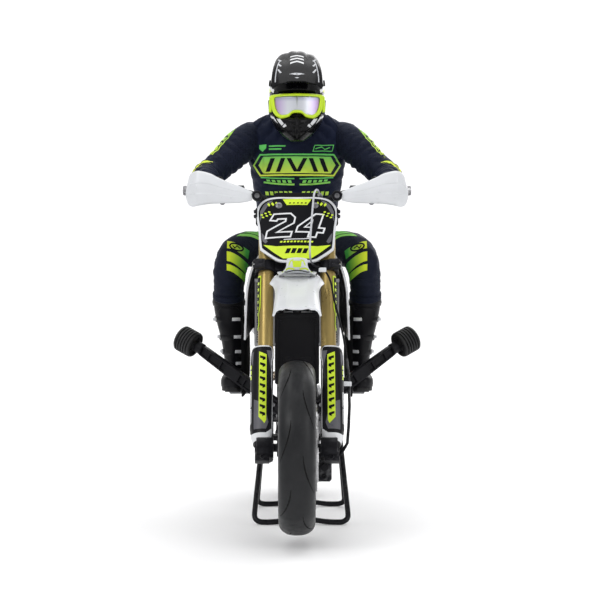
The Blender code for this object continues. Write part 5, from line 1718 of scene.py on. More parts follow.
def goggle_lens():
    """A bowed mirror lens, tinted towards its sides and its top."""
    m = Maker("mirror lens")
    side_tint = m.span(m.math("ABSOLUTE", m.along("X")), 0.009, 0.02)
    tint = m.blend(side_tint, (0.66, 0.68, 0.74), (0.52, 0.36, 0.66))
    tint = m.blend(m.span(m.along("Z"), 0.3985, 0.403), tint, (0.36, 0.38, 0.5))
    m.set(Base_Color=tint, Metallic=0.75, Roughness=m.cloudy(60, 2, 0.3, 0.38), Coat_Weight=0.25,
          Coat_Roughness=0.2)
    face = fill(GOGGLE_LENS, 1.6)
    for vert in face.verts:
        x, z = vert.co.x, vert.co.y
        vert.co = Vector((x * 1.015, goggle_front(x) + 0.9, z))
    made = keep(face, "goggle_lens", m.material, smooth=180)
    made.modifiers.new("thickness", "SOLIDIFY").thickness = 1.0 * MM
    bake(made)
    wear(made, "chassis", "goggle")


def goggle_strap():
    """The strap round the back of the helmet, as lines of (height, middle, half width, half depth)."""
    rows = []
    for z, y, a, b in ((388.5, 178.0, 25.3, 33.6), (391.5, 179.2, 25.7, 34.2), (399, 182.7, 26.2, 34.8),
                       (402.6, 184.4, 26.5, 35.1)):
        line = []
        for angle in (math.radians(-32 + 244 * i / 40) for i in range(41)):
            px, py = flatten(math.cos(angle), 0.93) * (a + 1.1), flatten(math.sin(angle), 0.93) * (b + 1.1)
            line.append(Vector((px, y + py, z)))
        rows.append(line)
    bm = bmesh.new()
    sheet_into(bm, rows, 1.0)
    wear(keep(bm, "goggle_strap", TROUSERS), "chassis", "goggle")


def goggle_outriggers():
    """The arms that carry the strap."""
    plate = ((156, 389.5), (160, 389), (165, 391), (165, 401), (160, 404.5), (156, 403.5))
    bm = bmesh.new()
    for side in SIDES:
        skin(bm, [[Vector((side * (25.4 + g), y, z)) for y, z in plate] for g in (-1.2, 1.2)])
        box_into(bm, (side * 26.4, 167.5, 395.6), (0.7, 2.2, 5.6))
    wear(keep(bm, "goggle_outriggers", LIME_PLASTIC, bevel=0.5), "chassis", "goggle")


def goggle_foam():
    """The foam between the frame and the face."""
    bm = bmesh.new()
    outer = skin(bm, [goggle_ring(GOGGLE_RIM, 4.0, -1.4), goggle_ring(GOGGLE_RIM, 11.5, -2.0)], caps=False)
    inner = skin(bm, [goggle_ring(GOGGLE_LENS, back, 1.0) for back in (4.0, 11.5)], caps=False)
    for near, far in zip(outer, inner):
        join_rings(bm, near, far)
    wear(keep(bm, "goggle_foam", SMOKE), "chassis", "goggle")


helmet()
peak()
goggle_frame()
goggle_lens()
goggle_strap()
goggle_outriggers()
goggle_foam()


# ---- front end: plate, fender, hand guards, bars and hose ----------------------------------------
def plate_spot(x, t, lift=0.0):
    """A point on the plate's bowed front."""
    return in_fork(x, -24 + x * x / 240 - lift, t)


def both_sides(shapes):
    """Outlines and their mirror images."""
    return shapes + [[(-x, t) for x, t in shape] for shape in shapes]


def slant(u, v, size, lean):
    """A bar from its upper left corner: (width, height), leaning by lean at the foot."""
    return [(u, v), (u + size[0], v), (u + size[0] + lean, v - size[1]), (u + lean, v - size[1])]


PLATE_RIGHT = smooth_line([(0, 174.2), (12.6, 174.6), (19.6, 177.2), (31.6, 187.2), (33.8, 191.8),
                           (35.2, 209),
                           (37.2, 225.6), (36.6, 231.4), (33.6, 236.8), (28, 240.4), (19, 241.4), (8, 240.8),
                           (0, 240.6)], 5)
PLATE_EDGE = PLATE_RIGHT + [(-x, t) for x, t in reversed(PLATE_RIGHT[1:-1])]


def number_plate():
    """The shield: a white bowed panel with a rolled edge, held by two screws."""
    bm = bmesh.new()
    face = fill(PLATE_EDGE, 3.0)
    flat, back = {}, {}
    for vert in face.verts:
        x, t = vert.co.x, vert.co.y
        flat[vert], back[vert] = bm.verts.new(plate_spot(x, t)), bm.verts.new(plate_spot(x, t, -2.2))
    for f in face.faces:
        bm.faces.new([flat[v] for v in f.verts])
        bm.faces.new([back[v] for v in reversed(f.verts)])
    for a, b in (e.verts for e in face.edges if e.is_boundary):
        bm.faces.new((flat[a], flat[b], back[b], back[a]))
    face.free()
    wear(keep(bm, "number_plate", WHITE, bevel=0.5), "steering", "white_plastic", "number_plate")


def plate_screws():
    """A screw in a collar at each of the plate's upper corners."""
    bm = bmesh.new()
    axis = fork_way(0, -1, 0)
    for side in SIDES:
        at = plate_spot(side * 16.6, 232.4)
        spin_into(bm, [(0, 1.2), (0, 2.9), (0.6, 3.1), (0.9, 2.7), (0.9, 1.2)], at, axis, 24)
        bolt_into(bm, at, axis, 1.9, 1.1)
    wear(keep(bm, "plate_screws", DARK_STEEL), "steering", "black_alloy")


def plate_prints():
    """The plate's graphics in (x, height): a black ground, an outlined race number, chips and dashes."""
    def stamp(tag, mat, shapes, level):
        def place(x, t):
            return plate_spot(x, t, 0.12 + 0.1 * level)

        stick(f"plate_{tag}", mat, shapes, place, 3.0, "steering", "graphic_panel")

    stamp("ground", INK, [[(x * 0.945, 208 + (t - 208) * 0.945) for x, t in PLATE_EDGE]], 1)
    shade = [[(33.6, 218), (33.8, 228), (30.5, 234.6), (26.5, 237.4), (22.0, 238.2), (27.4, 232),
              (31.0, 226)],
             [(31.2, 197), (32.4, 206), (30.2, 203), (26.6, 196), (28.6, 194.4)]]
    stamp("shade", GREY_PRINT, both_sides(shade), 2)
    head = [(-13.2, 238.6), (13.2, 238.6), (9.4, 232.4), (-9.4, 232.4)]
    foot = [(-12.6, 177.6), (12.6, 177.6), (20.4, 183.6), (30.6, 193.0), (18.6, 190.4), (-18.6, 190.4),
            (-30.6, 193.0), (-20.4, 183.6)]
    chips = []
    for x in (17.2, 20.8, 24.4):
        fall = 0.07 * x
        chips.append([(x, 235.4 - fall), (x + 1.9, 237.8 - fall), (x + 3.0, 236.2 - fall),
                      (x + 1.0, 233.6 - fall)])
    for i in range(3):
        for j in range(2):
            u, v = 24.2 + 3.4 * i - 1.2 * j, 226.6 - 1.1 * i - 2.7 * j
            chips.append([(u, v), (u + 2.0, v + 0.8), (u + 2.4, v - 0.4), (u + 0.4, v - 1.2)])
    line = [slant(-15 + 3.1 * i, 195.6, (2.0, 1.7), -0.5) for i in range(10)]
    stamp("lime", LIME, [head, foot] + both_sides(chips) + line, 3)
    marks = [slant(-7 + 3.6 * i, 235.0, (1.6, 1.2), -0.4) for i in range(5)]
    blocks = [slant(-9 + 5.2 * i, 187.8, (3.8, 5.0), -2) for i in range(4)]
    stamp("marks", INK, marks + blocks, 4)
    two = [(-24.5, 217.5), (-21, 223.6), (-5.6, 223.6), (-1.6, 219.4), (-2.8, 213.6), (-18.2, 204.8),
           (-4.6, 204.8),
           (-6, 199.6), (-28.6, 199.6), (-27.2, 206.6), (-10.4, 215.6), (-10.0, 218.2), (-17.6, 218.2),
           (-18.6, 216.4)]
    four = [(17.2, 223.6), (24.2, 223.6), (19.8, 209.4), (25.2, 209.4), (23.8, 204.6), (18.4, 204.6),
            (16.9, 199.6),
            (9.8, 199.6), (11.3, 204.6), (-1.0, 204.6), (0.6, 210.0)]
    hole = [(14.3, 216.6), (12.7, 209.5), (7.0, 209.5)]
    number = stroke(two, 1.5, True) + stroke(four, 1.5, True) + stroke(hole, 1.1, True)
    stamp("number", WHITE_PRINT, number + stroke([(-12, 197), (6, 197.4), (12, 198.2)], 0.8), 3)


def fender():
    """The high front mudguard: ears beside the clamp, a waist, ribs along it and turned-down sides."""
    spine = [(84, 231, 15.6), (76, 232.6, 17.4), (66, 233.2, 18), (58, 233, 21.5), (51, 231.8, 23.6),
             (45, 230.6, 23.4), (38, 229.3, 21.4), (31, 227.8, 20.2), (18, 225, 18.8), (-2, 220.5, 18.3),
             (-28, 214, 18.8), (-50, 208, 19.3), (-63, 204.2, 19.8)]
    rows = []
    for y, z, half in smooth_line(spine, 7):
        line = []
        for s in mirrored((0.2, 0.44, 0.5, 0.6, 0.76, 0.88, 0.95, 0.985, 1)):
            fall = 5.5 * max(0.0, (abs(s) - 0.82) / 0.18) ** 1.3 + 0.5 * s * s
            rib = 0.9 * (0.4 < abs(s) < 0.52) * min(1.0, max(0.0, (40 - y) / 12))
            line.append(Vector((half * s, y, z - fall + rib)))
        rows.append(line)
    bm = bmesh.new()
    sheet_into(bm, rows, 1.6)
    made = keep(bm, "front_fender", WHITE, smooth=50, bevel=0.2)
    wear(made, "steering", "white_plastic", "front_fender")


def fender_tongue():
    """The tongue that rises to the lower clamp, with its prints and the mudguard's screws."""
    tongue = [(52, 236.6, 17.6), (44, 235.4, 16.0), (36, 237.5, 12.0), (31, 242, 9.6), (28.5, 248.5, 9.0)]
    rows = []
    for y, z, half in smooth_line(tongue, 5):
        rows.append([Vector((half * s, y + 0.9 * s * s, z - 1.2 * s * s)) for s in mirrored((0.5, 0.85, 1))])
    bm = bmesh.new()
    sheet_into(bm, rows, 1.5)
    made = keep(bm, "fender_tongue", WHITE, bevel=0.2)
    wear(made, "steering", "white_plastic")
    arcs = []
    for side in SIDES:
        arcs += stroke([(side * 2.2, 238.4), (side * 7, 239.2), (side * 11.2, 237.4),
                        (side * 14.2, 235.0)], 1.3)
        arcs += stroke([(side * 3.2, 246.8), (side * 5.8, 245.4), (side * 7.2, 241.6)], 1.0)
    arcs.append([(-4.2, 245.8), (4.2, 245.8), (3.4, 240.2), (-3.4, 240.2)])
    lines = stroke([(-15.2, 236.2), (-9, 236.0), (-3, 237.4), (3, 237.4), (9, 236.0), (15.2, 236.2)], 0.7)
    for tag, mat, shapes, lift in (("print", LIME, arcs, 0.2), ("lines", INK, lines, 0.3)):
        place = ray_place(made, Y, (0, -40, 0), X, Z, lift)
        stick(f"tongue_{tag}", mat, shapes, place, 1.4, "steering", "white_plastic")
    bm = bmesh.new()
    for side in SIDES:
        bolt_into(bm, (side * 13.6, 46.5, 231.4), (0, -0.1, 1), 2.4, 1.4)
        bolt_into(bm, (side * 9.5, 62, 233.9), (0, 0, 1), 2.2, 1.2)
    wear(keep(bm, "fender_screws", DARK_STEEL), "steering", "black_alloy")


def hand_guard(side, side_name):
    """A folded white shield with two creases, through stations of (x, top, foot)."""
    stations = [(41, 309.5, 302.5), (46, 311.8, 301.2), (52, 314.4, 300.3), (59, 316.8, 300),
                (67, 320.2, 299.8),
                (74, 323.4, 299.6), (80, 326.5, 299.3), (89, 328.8, 298), (94.5, 328.4, 296.9),
                (98.2, 325.6, 297.8),
                (100.4, 318.4, 300.6), (101.8, 310.8, 305.6)]
    section = ((0, 2.8), (0.05, 1.2), (0.2, -0.4), (0.33, -1.5), (0.36, -1.1), (0.5, -1.9), (0.63, -1.0),
               (0.66, -1.4), (0.82, 0.4), (0.95, 2.4), (1.0, 4.6))
    rows = []
    for x, top, low in smooth_line(stations, 4):
        height = top - low
        share = (x - 41) / 60.5
        front = 93.4 + 2.6 * share ** 2 + 6.5 * max(0.0, share - 0.84) / 0.16
        relief = (0.35 + 0.65 * share, min(1.0, height / 16))
        rows.append([Vector((side * x, front + out * relief[0] * relief[1], low + height * s)) for s,
                     out in section])
    bm = bmesh.new()
    sheet_into(bm, rows, 1.5)
    made = keep(bm, f"handguard_{side_name}", WHITE, smooth=24, bevel=0.25)
    wear(made, "steering", "white_plastic", f"handguard_{side_name}")


def guard_mount(side, side_name):
    """The clamp ring with its arm, and the alloy bar behind the shield that ends at the grip."""
    at, axis = in_fork(side * 36.6, -27.5, 240), fork_way(0, -1, -0.35)
    bm = bmesh.new()
    spin_into(bm, [(-2.4, 2.4), (-2.4, 4.2), (-1.8, 4.7), (1.6, 4.7), (2.2, 4.2), (2.2, 2.4)], at, axis, 28)
    arm = [at + Vector((side * 3.6, 1.5, 0.6)), at + Vector((side * 8, 4, 1.6)), Vector((side * 52, 97, 305)),
           Vector((side * 66, 99.4, 307))]
    sweep_into(bm, smooth_line(arm, 6), 1.7, 10, 1.3)
    wear(keep(bm, f"guard_clamp_{side_name}", BLACK_METAL, bevel=0.2), "steering", "black_alloy")
    bm = bmesh.new()
    bolt_into(bm, at + axis.normalized() * -1.4, axis, 2.9, 3.0)
    line = [(66, 98.6, 306), (78, 100, 309), (90, 103, 309), (99, 108, 310), (104.2, 118, 312.6),
            (104.8, 126, 314)]
    sweep_into(bm, smooth_line([mirror(side, p) for p in line], 6), 2.0, 12, 0.7)
    rod_into(bm, in_fork(side * 99.5, 3.4, 262.7), in_fork(side * 106.4, 3.8, 263.1), 4.6, 20)
    for x in (60, 74):
        bolt_into(bm, (side * x, 94.6, 306 + 0.1 * (x - 60)), (0, -1, 0), 1.7, 1.6)
    wear(keep(bm, f"guard_bar_{side_name}", DARK_STEEL, bevel=0.2), "steering", "black_alloy")


def bars():
    """The bar with its risers, clamps and lever perches, over the CAD tube's own path."""
    half = [(0, -2, 245), (16, -2, 245), (30, -2, 250), (46, 0, 259), (66, 1.5, 261), (101, 3.5, 262.8)]
    path = [in_fork(-x, y, t) for x, y, t in reversed(half[1:])] + [in_fork(*p) for p in half]
    bm = bmesh.new()
    sweep_into(bm, round_corners(path, 12, 6), 3.4, 24)
    for side in SIDES:
        rod_into(bm, in_fork(side * 10, -2, 234.5), in_fork(side * 10, -2, 243), 4.6, 20)
        box_into(bm, in_fork(side * 10, -2, 245), (4.6, 5.6, 4.6), FORK.to_3x3())
        for dy in (-4.2, 0.4):
            bolt_into(bm, in_fork(side * 10, dy, 249.3), fork_way(0, 0, 1), 1.4, 1.2)
        rod_into(bm, in_fork(side * 36.6, -1, 254), in_fork(side * 36.6, -23.5, 242), 2.4, 12)
        perch = in_fork(side * 54, 0, 260.3)
        rod_into(bm, perch - Vector((4.5, 0, 0)), perch + Vector((4.5, 0, 0)), 5.5, 20)
        box_into(bm, perch + Vector((0, -7, 0)), (5.2, 4.6, 3.6))
        bolt_into(bm, perch + Vector((side * 1.5, -11.2, 0)), (0, -1, 0), 1.6, 1.2)
    wear(keep(bm, "handlebar", BLACK_METAL, bevel=0.4), "steering", "black_alloy", "handlebar")


def levers():
    """The two levers, from their perches outwards."""
    bm = bmesh.new()
    for side in SIDES:
        perch = in_fork(side * 54, 0, 260.3)
        lever = [(0, -8, 0), (6, -13.4, -1.4), (18, -14.6, -2.4), (30, -15, -3), (42, -13.4, -3.8),
                 (46, -12, -4)]
        line = smooth_line([perch + mirror(side, p) for p in lever], 6)
        sweep_into(bm, line, [2.4 if i < 8 else 1.7 for i in range(len(line) - 1)] + [2.5], 12, 0.8, X)
    wear(keep(bm, "levers", ALLOY), "steering", "black_alloy")


def grips():
    """Ribbed rubber grips."""
    profile = [(0, 3.5), (0, 7.6), (1.4, 7.6), (1.8, 5.6)]
    for u in (2.3 * i for i in range(13)):
        profile += [(2.4 + u, 5.6), (2.8 + u, 5.1), (3.8 + u, 5.1), (4.2 + u, 5.6)]
    profile += [(33.6, 5.6), (34, 3.5)]
    bm = bmesh.new()
    for side in SIDES:
        start, end = in_fork(side * 66.4, 1.5, 261), in_fork(side * 100.6, 3.5, 262.8)
        spin_into(bm, profile, start, end - start, 24)
    wear(keep(bm, "grips", RIB_RUBBER), "steering", "hard_rubber")


def bar_pad():
    """The padded roll on the bar's middle."""
    sections = ((-21, 3, 3), (-20, 5.4, 4.6), (20, 5.4, 4.6), (21, 3, 3))
    rings = [oval(in_fork(x, -3.4, 250.4), fork_way(0, 1, 0), fork_way(0, 0, 1), a, b, 24, 4) for x, a,
             b in sections]
    bm = bmesh.new()
    skin(bm, rings)
    made = keep(bm, "bar_pad", SMOKE, bevel=0.4)
    wear(made, "steering", "black_plastic")


HOSE = [(22, 118, 306), (19, 104, 312), (16.5, 90, 310), (15, 82, 303), (13, 70, 280), (11.5, 58, 255),
        (14, 53, 243), (24, 56, 238), (30, 60, 228), (33, 52, 212), (37, 44, 196)]
LOWER_HOSE = [(43.5, 27, 160), (44.5, 25, 150), (45.5, 21, 138), (45.8, 18, 118), (45, 18, 100), (44, 21, 86),
              (38, 25, 76), (31, 26, 71)]


def hose_joint(made):
    """Bakes the piece's transform into its mesh."""
    tuple(row(HOSE[-2]))
    tuple(row(LOWER_HOSE[1]))
    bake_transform(made)


def hose():
    """The brake hose, in one run from lever to caliper."""
    bm = bmesh.new()
    sweep_into(bm, smooth_line(HOSE + [(41, 34, 178)] + LOWER_HOSE, 8), 0.9, 14)
    # Painted highlight: the hose is black below 242 mm and pale silver above 256 mm; the silver paints the
    # glint it shows where it runs over the plate.
    hose_with_painted_highlight = printed("hose", (0.006, 0.006, 0.008), 0.35, (0.5, 0.51, 0.54), 0.242, 0.256)
    made = keep(bm, "brake_hose", hose_with_painted_highlight, smooth=180)
    hose_joint(made)
    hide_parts("brake_hose")
    for name, at, body in (("hose_clip_top", HOSE[7], "steering"),
                           ("hose_clip_low", LOWER_HOSE[2], "fork_lower")):
        clip = bmesh.new()
        box_into(clip, Vector(at) + Vector((-1.2, 0, 0)), (3.4, 2.6, 2.0))
        wear(keep(clip, name, WHITE, bevel=0.6), body, "white_plastic")
    bm = bmesh.new()
    for end, before in ((HOSE[0], HOSE[1]), (LOWER_HOSE[-1], LOWER_HOSE[-2])):
        way = Vector(end) - Vector(before)
        rod_into(bm, Vector(end) - way.normalized() * 6, end, 2.3, 6)
    hose_joint(keep(bm, "hose_fittings", DARK_STEEL))


number_plate()
plate_prints()
plate_screws()
fender()
fender_tongue()
for side_of, side_label in SIDES.items():
    hand_guard(side_of, side_label)
    guard_mount(side_of, side_label)
bars()
levers()
grips()
bar_pad()
hose()

# ---- bodywork ------------------------------------------------------------------------------------
def side_decals(name, target, side, groups):
    """Prints on a panel seen from one side; each group is (material, outlines in (y, z), level)."""
    for k, (mat, shapes, level) in enumerate(groups):
        place = from_side(target, side, 0.12 + 0.1 * level)
        stick(f"{name}_{k}", mat, shapes, place, 2.6, "chassis", "graphic_panel")


def panel_bolts(name, target, side, spots, radius, height):
    """Screws at (y, z) spots on a panel's outside."""
    bm = bmesh.new()
    outside = from_side(target, side, 0.0)
    for y, z in spots:
        at = outside(y, z)
        if at:
            bolt_into(bm, at, (side, 0, 0), radius, height)
    wear(keep(bm, name, DARK_STEEL), "chassis", "black_alloy")


def shroud(side, side_name):
    """A radiator shroud from four columns of points, front to back, with a black liner inside."""
    columns = [
        [(35.5, 108, 250), (41, 103, 240), (45.5, 100, 222), (47, 99, 200), (48, 99, 174)],
        [(34, 132, 254), (39.5, 130, 240), (43, 128, 222), (44, 126, 202), (44, 122, 182)],
        [(28, 158, 252), (32.5, 155, 238), (34, 152, 222), (34, 148, 206), (33, 143, 190)],
        [(24, 182, 246), (26.5, 180, 236), (27, 177, 224), (27, 173, 212), (26.5, 168, 200)],
    ]
    rows = [[mirror(side, p) for p in points] for points in columns]
    made = sheet(f"shroud_{side_name}", WHITE, rows, 1.8, 7, 7, smooth=40, bevel=0.3)
    wear(made, "chassis", "white_plastic", f"shroud_{side_name}")
    liner = []
    for points, back in zip(columns, (2.2, 0.6, -0.6, -2.2)):
        middle = sum((Vector(p) for p in points), Vector()) / len(points)
        liner.append([mirror(side, Vector(p).lerp(middle, 0.05) + Vector((-2.3, back, 0))) for p in points])
    wear(sheet(f"shroud_liner_{side_name}", BLACK, liner, 0.5, 6, 6), "chassis", "black_plastic")
    shroud_prints(made, side, side_name)
    panel_bolts(f"shroud_bolts_{side_name}", made, side, ((112, 244), (108, 186), (170, 214)), 2.2, 1.3)


def shroud_prints(made, side, side_name):
    """A black ground with lime and grey blocks, white lines and a row of slanted bars."""
    ground = [(103.4, 247), (102.4, 236), (101, 222), (100.6, 200), (101.4, 178), (122, 185), (142, 193),
              (166, 203), (175, 224), (179, 243), (156, 249), (131, 251)]
    lime = [[(106, 244), (136, 246), (124, 236), (104, 232)],
            [(108, 224), (150, 238), (160, 234), (112, 212)],
            [(112, 204), (152, 222), (160, 219), (118, 196)]]
    grey = [[(138, 246), (170, 244), (172, 240), (128, 238)],
            [(106, 194), (136, 208), (142, 205), (108, 186)]]
    white = (stroke([(105, 228), (140, 243), (176, 241)], 1.1)
             + stroke([(104, 208), (152, 229), (172, 224)], 1.1)
             + stroke([(106, 182), (140, 196), (166, 206)], 1.0))
    bars = []
    for i in range(5):
        y, up, down = 7 * i, 2.6 * i, 2.7 * i
        bars.append([(118 + y, 231.6 + up), (121 + y, 232.7 + up), (119.6 + y, 221 + down),
                     (116.6 + y, 219.8 + down)])
    side_decals(f"shroud_print_{side_name}", made, side,
                [(INK, [ground], 1), (GREY_PRINT, grey, 2), (LIME, lime, 2), (WHITE_PRINT, white, 3),
                 (INK, bars, 4)])


def radiators():
    """Fins and frames on the two cores, and ribs and screws on the black panel between them."""
    NODES["radiator_pack"].data.materials[0] = BLACK
    bm = bmesh.new()
    for side in SIDES:
        for i in range(26):
            box_into(bm, (side * 29.6, 107.6, 171 + 2.25 * i), (7.6, 0.5, 0.42))
        for x in (21.2, 38.2):
            rod_into(bm, (side * x, 108.2, 169), (side * x, 108.2, 229), 1.3, 12)
        for z in (169.5, 229):
            box_into(bm, (side * 29.6, 107.8, z), (9.6, 1.1, 1.4))
    wear(keep(bm, "radiator_cores", ALLOY, bevel=0.15), "chassis", "black_plastic")
    bm = bmesh.new()
    box_into(bm, (0, 105.6, 196.4), (20, 0.6, 1.4))
    box_into(bm, (0, 105.6, 137), (20, 0.6, 1.2))
    for side in SIDES:
        box_into(bm, (side * 17.4, 105.4, 166), (0.7, 0.5, 28))
        for z in (141, 191):
            bolt_into(bm, (side * 14, 106, z), (0, -1, 0), 1.6, 1.0)
        box_into(bm, (side * 8, 105.7, 150), (4.6, 0.4, 8))
    wear(keep(bm, "front_panel_ribs", SATIN, bevel=0.2), "chassis", "black_plastic")


def tank():
    """The tank cover with two stripes and its filler cap; sections are (y, z, half width, half depth)."""
    sections = [(122, 254, 13, 5), (125, 253.4, 18, 9), (131, 251, 20.6, 12), (150, 247, 21, 14),
                (172, 241, 18, 13.6), (184, 238, 16, 12), (187, 237, 14, 10)]
    made = lofted("tank_cover", WHITE, sections, 56, 2.8, 6, up=Z)
    wear(made, "chassis", "black_plastic", "tank_cover")
    ground = [[(-15, 128), (15, 128), (17, 150), (14, 182), (-14, 182), (-17, 150)]]
    stick("tank_ground", INK, ground, from_above(made, 0.14), 2.6, "chassis", "black_plastic")
    stripes = [[(side * 13, 133), (side * 6, 133), (side * 3, 178), (side * 8, 178)] for side in (-1, 1)]
    stick("tank_stripes", LIME, stripes, from_above(made, 0.26), 2.6, "chassis", "black_plastic")
    profile = [(0, 0), (0, 6.4), (1.4, 6.8), (3.2, 6.2), (3.8, 4.6), (3.8, 0)]
    cap = spun("filler_cap", BLACK_METAL, profile, (0, 145, 260.6), (0, -0.14, 1), 24, bevel=0.2)
    wear(cap, "chassis", "black_alloy")


def seat():
    """The padded seat with its ribs and piping; sections are (y, z, half width, half depth)."""
    sections = [(188.5, 237, 13.4, 7.4), (193, 235.8, 15.8, 7.6), (202, 234, 17, 7.6), (240, 232.4, 19, 7.5),
                (290, 234.5, 19, 7.5), (320, 238.2, 16.6, 6.4), (331, 240.4, 13.6, 5), (334.5, 241, 11, 3.4)]
    cover = cloth("seat cover", (0.012, 0.012, 0.014), (0.02, 0.02, 0.022), rough=0.7)
    made = lofted("seat", cover, sections, 64, 3, 8, up=Z)
    crumple(made, 0.25, 13)
    wear(made, "chassis", "black_plastic", "seat")
    on_seat = from_above(made, 0.0)
    bm = bmesh.new()
    for y in (212 + 10.5 * i for i in range(10)):
        line = [on_seat(15.6 * s, y) for s in (k / 10 for k in range(-10, 11))]
        sweep_into(bm, [spot for spot in line if spot], 0.75, 8)
    wear(keep(bm, "seat_ribs", SMOKE), "chassis", "black_plastic")
    edge = smooth_line([(13, 190, 238), (17, 204, 235), (19, 240, 233.6), (19, 290, 235.8),
                        (15, 326, 240)], 8)
    for side, side_name in SIDES.items():
        bm = bmesh.new()
        sweep_into(bm, [(side * (x * 0.985), y, z + 1.0) for x, y, z in edge], 0.55, 8)
        wear(keep(bm, f"seat_piping_{side_name}", LIME_PLASTIC), "chassis", "black_plastic")


def tail():
    """The rear mudguard with two ribs and a printed panel."""
    spine = smooth_line([(300, 226, 13), (320, 231, 15.4), (340, 236, 17), (380, 244, 18.5), (420, 251, 17),
                         (448, 256.5, 14), (455, 258, 10.5), (457, 258.3, 7)], 6)
    rows = []
    for y, z, half in spine:
        line = []
        for s in mirrored((0.2, 0.42, 0.5, 0.7, 0.9, 0.97, 1)):
            fall = 8 * max(0.0, (abs(s) - 0.86) / 0.14) ** 1.4
            line.append(Vector((half * s, y, z - fall - 0.6 * s * s + 0.9 * (0.41 < abs(s) < 0.51))))
        rows.append(line)
    bm = bmesh.new()
    sheet_into(bm, rows, 1.6)
    made = keep(bm, "rear_fender", WHITE, smooth=50, bevel=0.25)
    wear(made, "chassis", "white_plastic", "rear_fender")
    ground = [[(-6, 352), (6, 352), (4.4, 430), (-4.4, 430)]]
    bars = [[(-4, y), (4, y + 4), (4, y + 7), (-4, y + 3)] for y in (360 + 9 * i for i in range(6))]
    for tag, mat, shapes, lift in (("ground", INK, ground, 0.14), ("bars", LIME, bars, 0.24)):
        stick(f"rear_fender_{tag}", mat, shapes, from_above(made, lift), 2.6, "chassis", "white_plastic")


def tail_light():
    """A red lens under the rear mudguard's end."""
    bm = bmesh.new()
    box_into(bm, (0, 449, 251), (8, 3.2, 3.6))
    lens = moulded("tail lens", (0.42, 0.012, 0.014), 0.2, coat=0.6)
    wear(keep(bm, "tail_light", lens, bevel=0.8), "chassis", "black_plastic")


def side_panel(side, side_name):
    """A side panel from four columns of points, front to back, with the race number reading the right way."""
    columns = [
        [(24, 206, 222), (25.5, 210, 206), (25, 222, 186), (24, 240, 166)],
        [(24, 245, 224), (26.5, 250, 208), (26.5, 258, 190), (25, 268, 174)],
        [(23.5, 290, 228), (26, 295, 213), (26, 300, 198), (24.5, 305, 184)],
        [(21.5, 330, 229), (23, 334, 219), (23.5, 338, 208), (22.5, 340, 198)],
    ]
    rows = [[mirror(side, p) for p in points] for points in columns]
    made = sheet(f"side_panel_{side_name}", WHITE, rows, 1.8, 7, 6, smooth=40, bevel=0.3)
    wear(made, "chassis", "white_plastic", f"side_panel_{side_name}")
    ground = [(213, 218), (218, 204), (232, 184), (246, 172), (270, 178), (300, 188), (334, 202), (329, 224),
              (290, 222), (246, 219)]
    lime = [[(216, 214), (240, 216), (233, 204), (221, 206)],
            [(226, 196), (246, 198), (244, 182), (236, 184)],
            [(304, 219), (326, 221), (331, 208), (310, 200)]]
    two = [(251, 210), (253, 214.5), (267, 215.5), (270, 211), (268, 206.4), (256, 197.6), (268, 198.6),
           (267.4, 194), (248.6, 191.4), (249.4, 196.6), (262.6, 207), (262.4, 210.4), (256.8, 210)]
    four = [(285, 217), (292, 217.6), (287.6, 205.4), (292.8, 206), (291.6, 201.4), (286.4, 200.8),
            (285, 196.2),
            (278.4, 195.4), (279.8, 200), (271.6, 199), (272.8, 204)]
    middle = 272
    if side < 0:
        two, four = ([(2 * middle - y, z) for y, z in digit] for digit in (two, four))
    number = stroke(two, 1.3, True) + stroke(four, 1.3, True)
    side_decals(f"side_print_{side_name}", made, side,
                [(INK, [ground], 1), (LIME, lime, 2), (WHITE_PRINT, number, 3)])
    panel_bolts(f"side_panel_bolts_{side_name}", made, side, ((222, 216), (300, 192), (324, 222)), 2.0, 1.2)


def out_from(axis, angle):
    """A direction square to an axis, at an angle round it."""
    side = axis.orthogonal().normalized()
    return side * math.cos(angle) + axis.cross(side) * math.sin(angle)


def exhaust():
    """The header pipe, swelling towards the back, with its weld rings."""
    head = smooth_line([(-5, 134, 154), (-9, 129, 150), (-20, 131, 140), (-29, 140, 137), (-31.5, 165, 142),
                        (-33, 200, 152), (-36, 240, 168), (-38, 262, 177)], 7)
    swelling_from = 30
    radii = [3.6 + 0.9 * max(0.0, (i - swelling_from) / (len(head) - 31)) for i in range(len(head))]
    bm = bmesh.new()
    sweep_into(bm, head, radii, 28)
    for i in (4, 14, 24, 34, 42):
        way, r = Vector(head[i + 1]) - Vector(head[i - 1]), radii[i]
        weld = [(-0.7, r - 0.6), (-0.5, r + 0.35), (0, r + 0.55), (0.5, r + 0.35), (0.7, r - 0.6)]
        spin_into(bm, weld, head[i], way, 28)
    pipe = keep(bm, "exhaust_header", brushed("heat tinted steel", (0.5, 0.42, 0.33), 0.28, (500, 500, 500)))
    wear(pipe, "chassis", "steel", "exhaust")


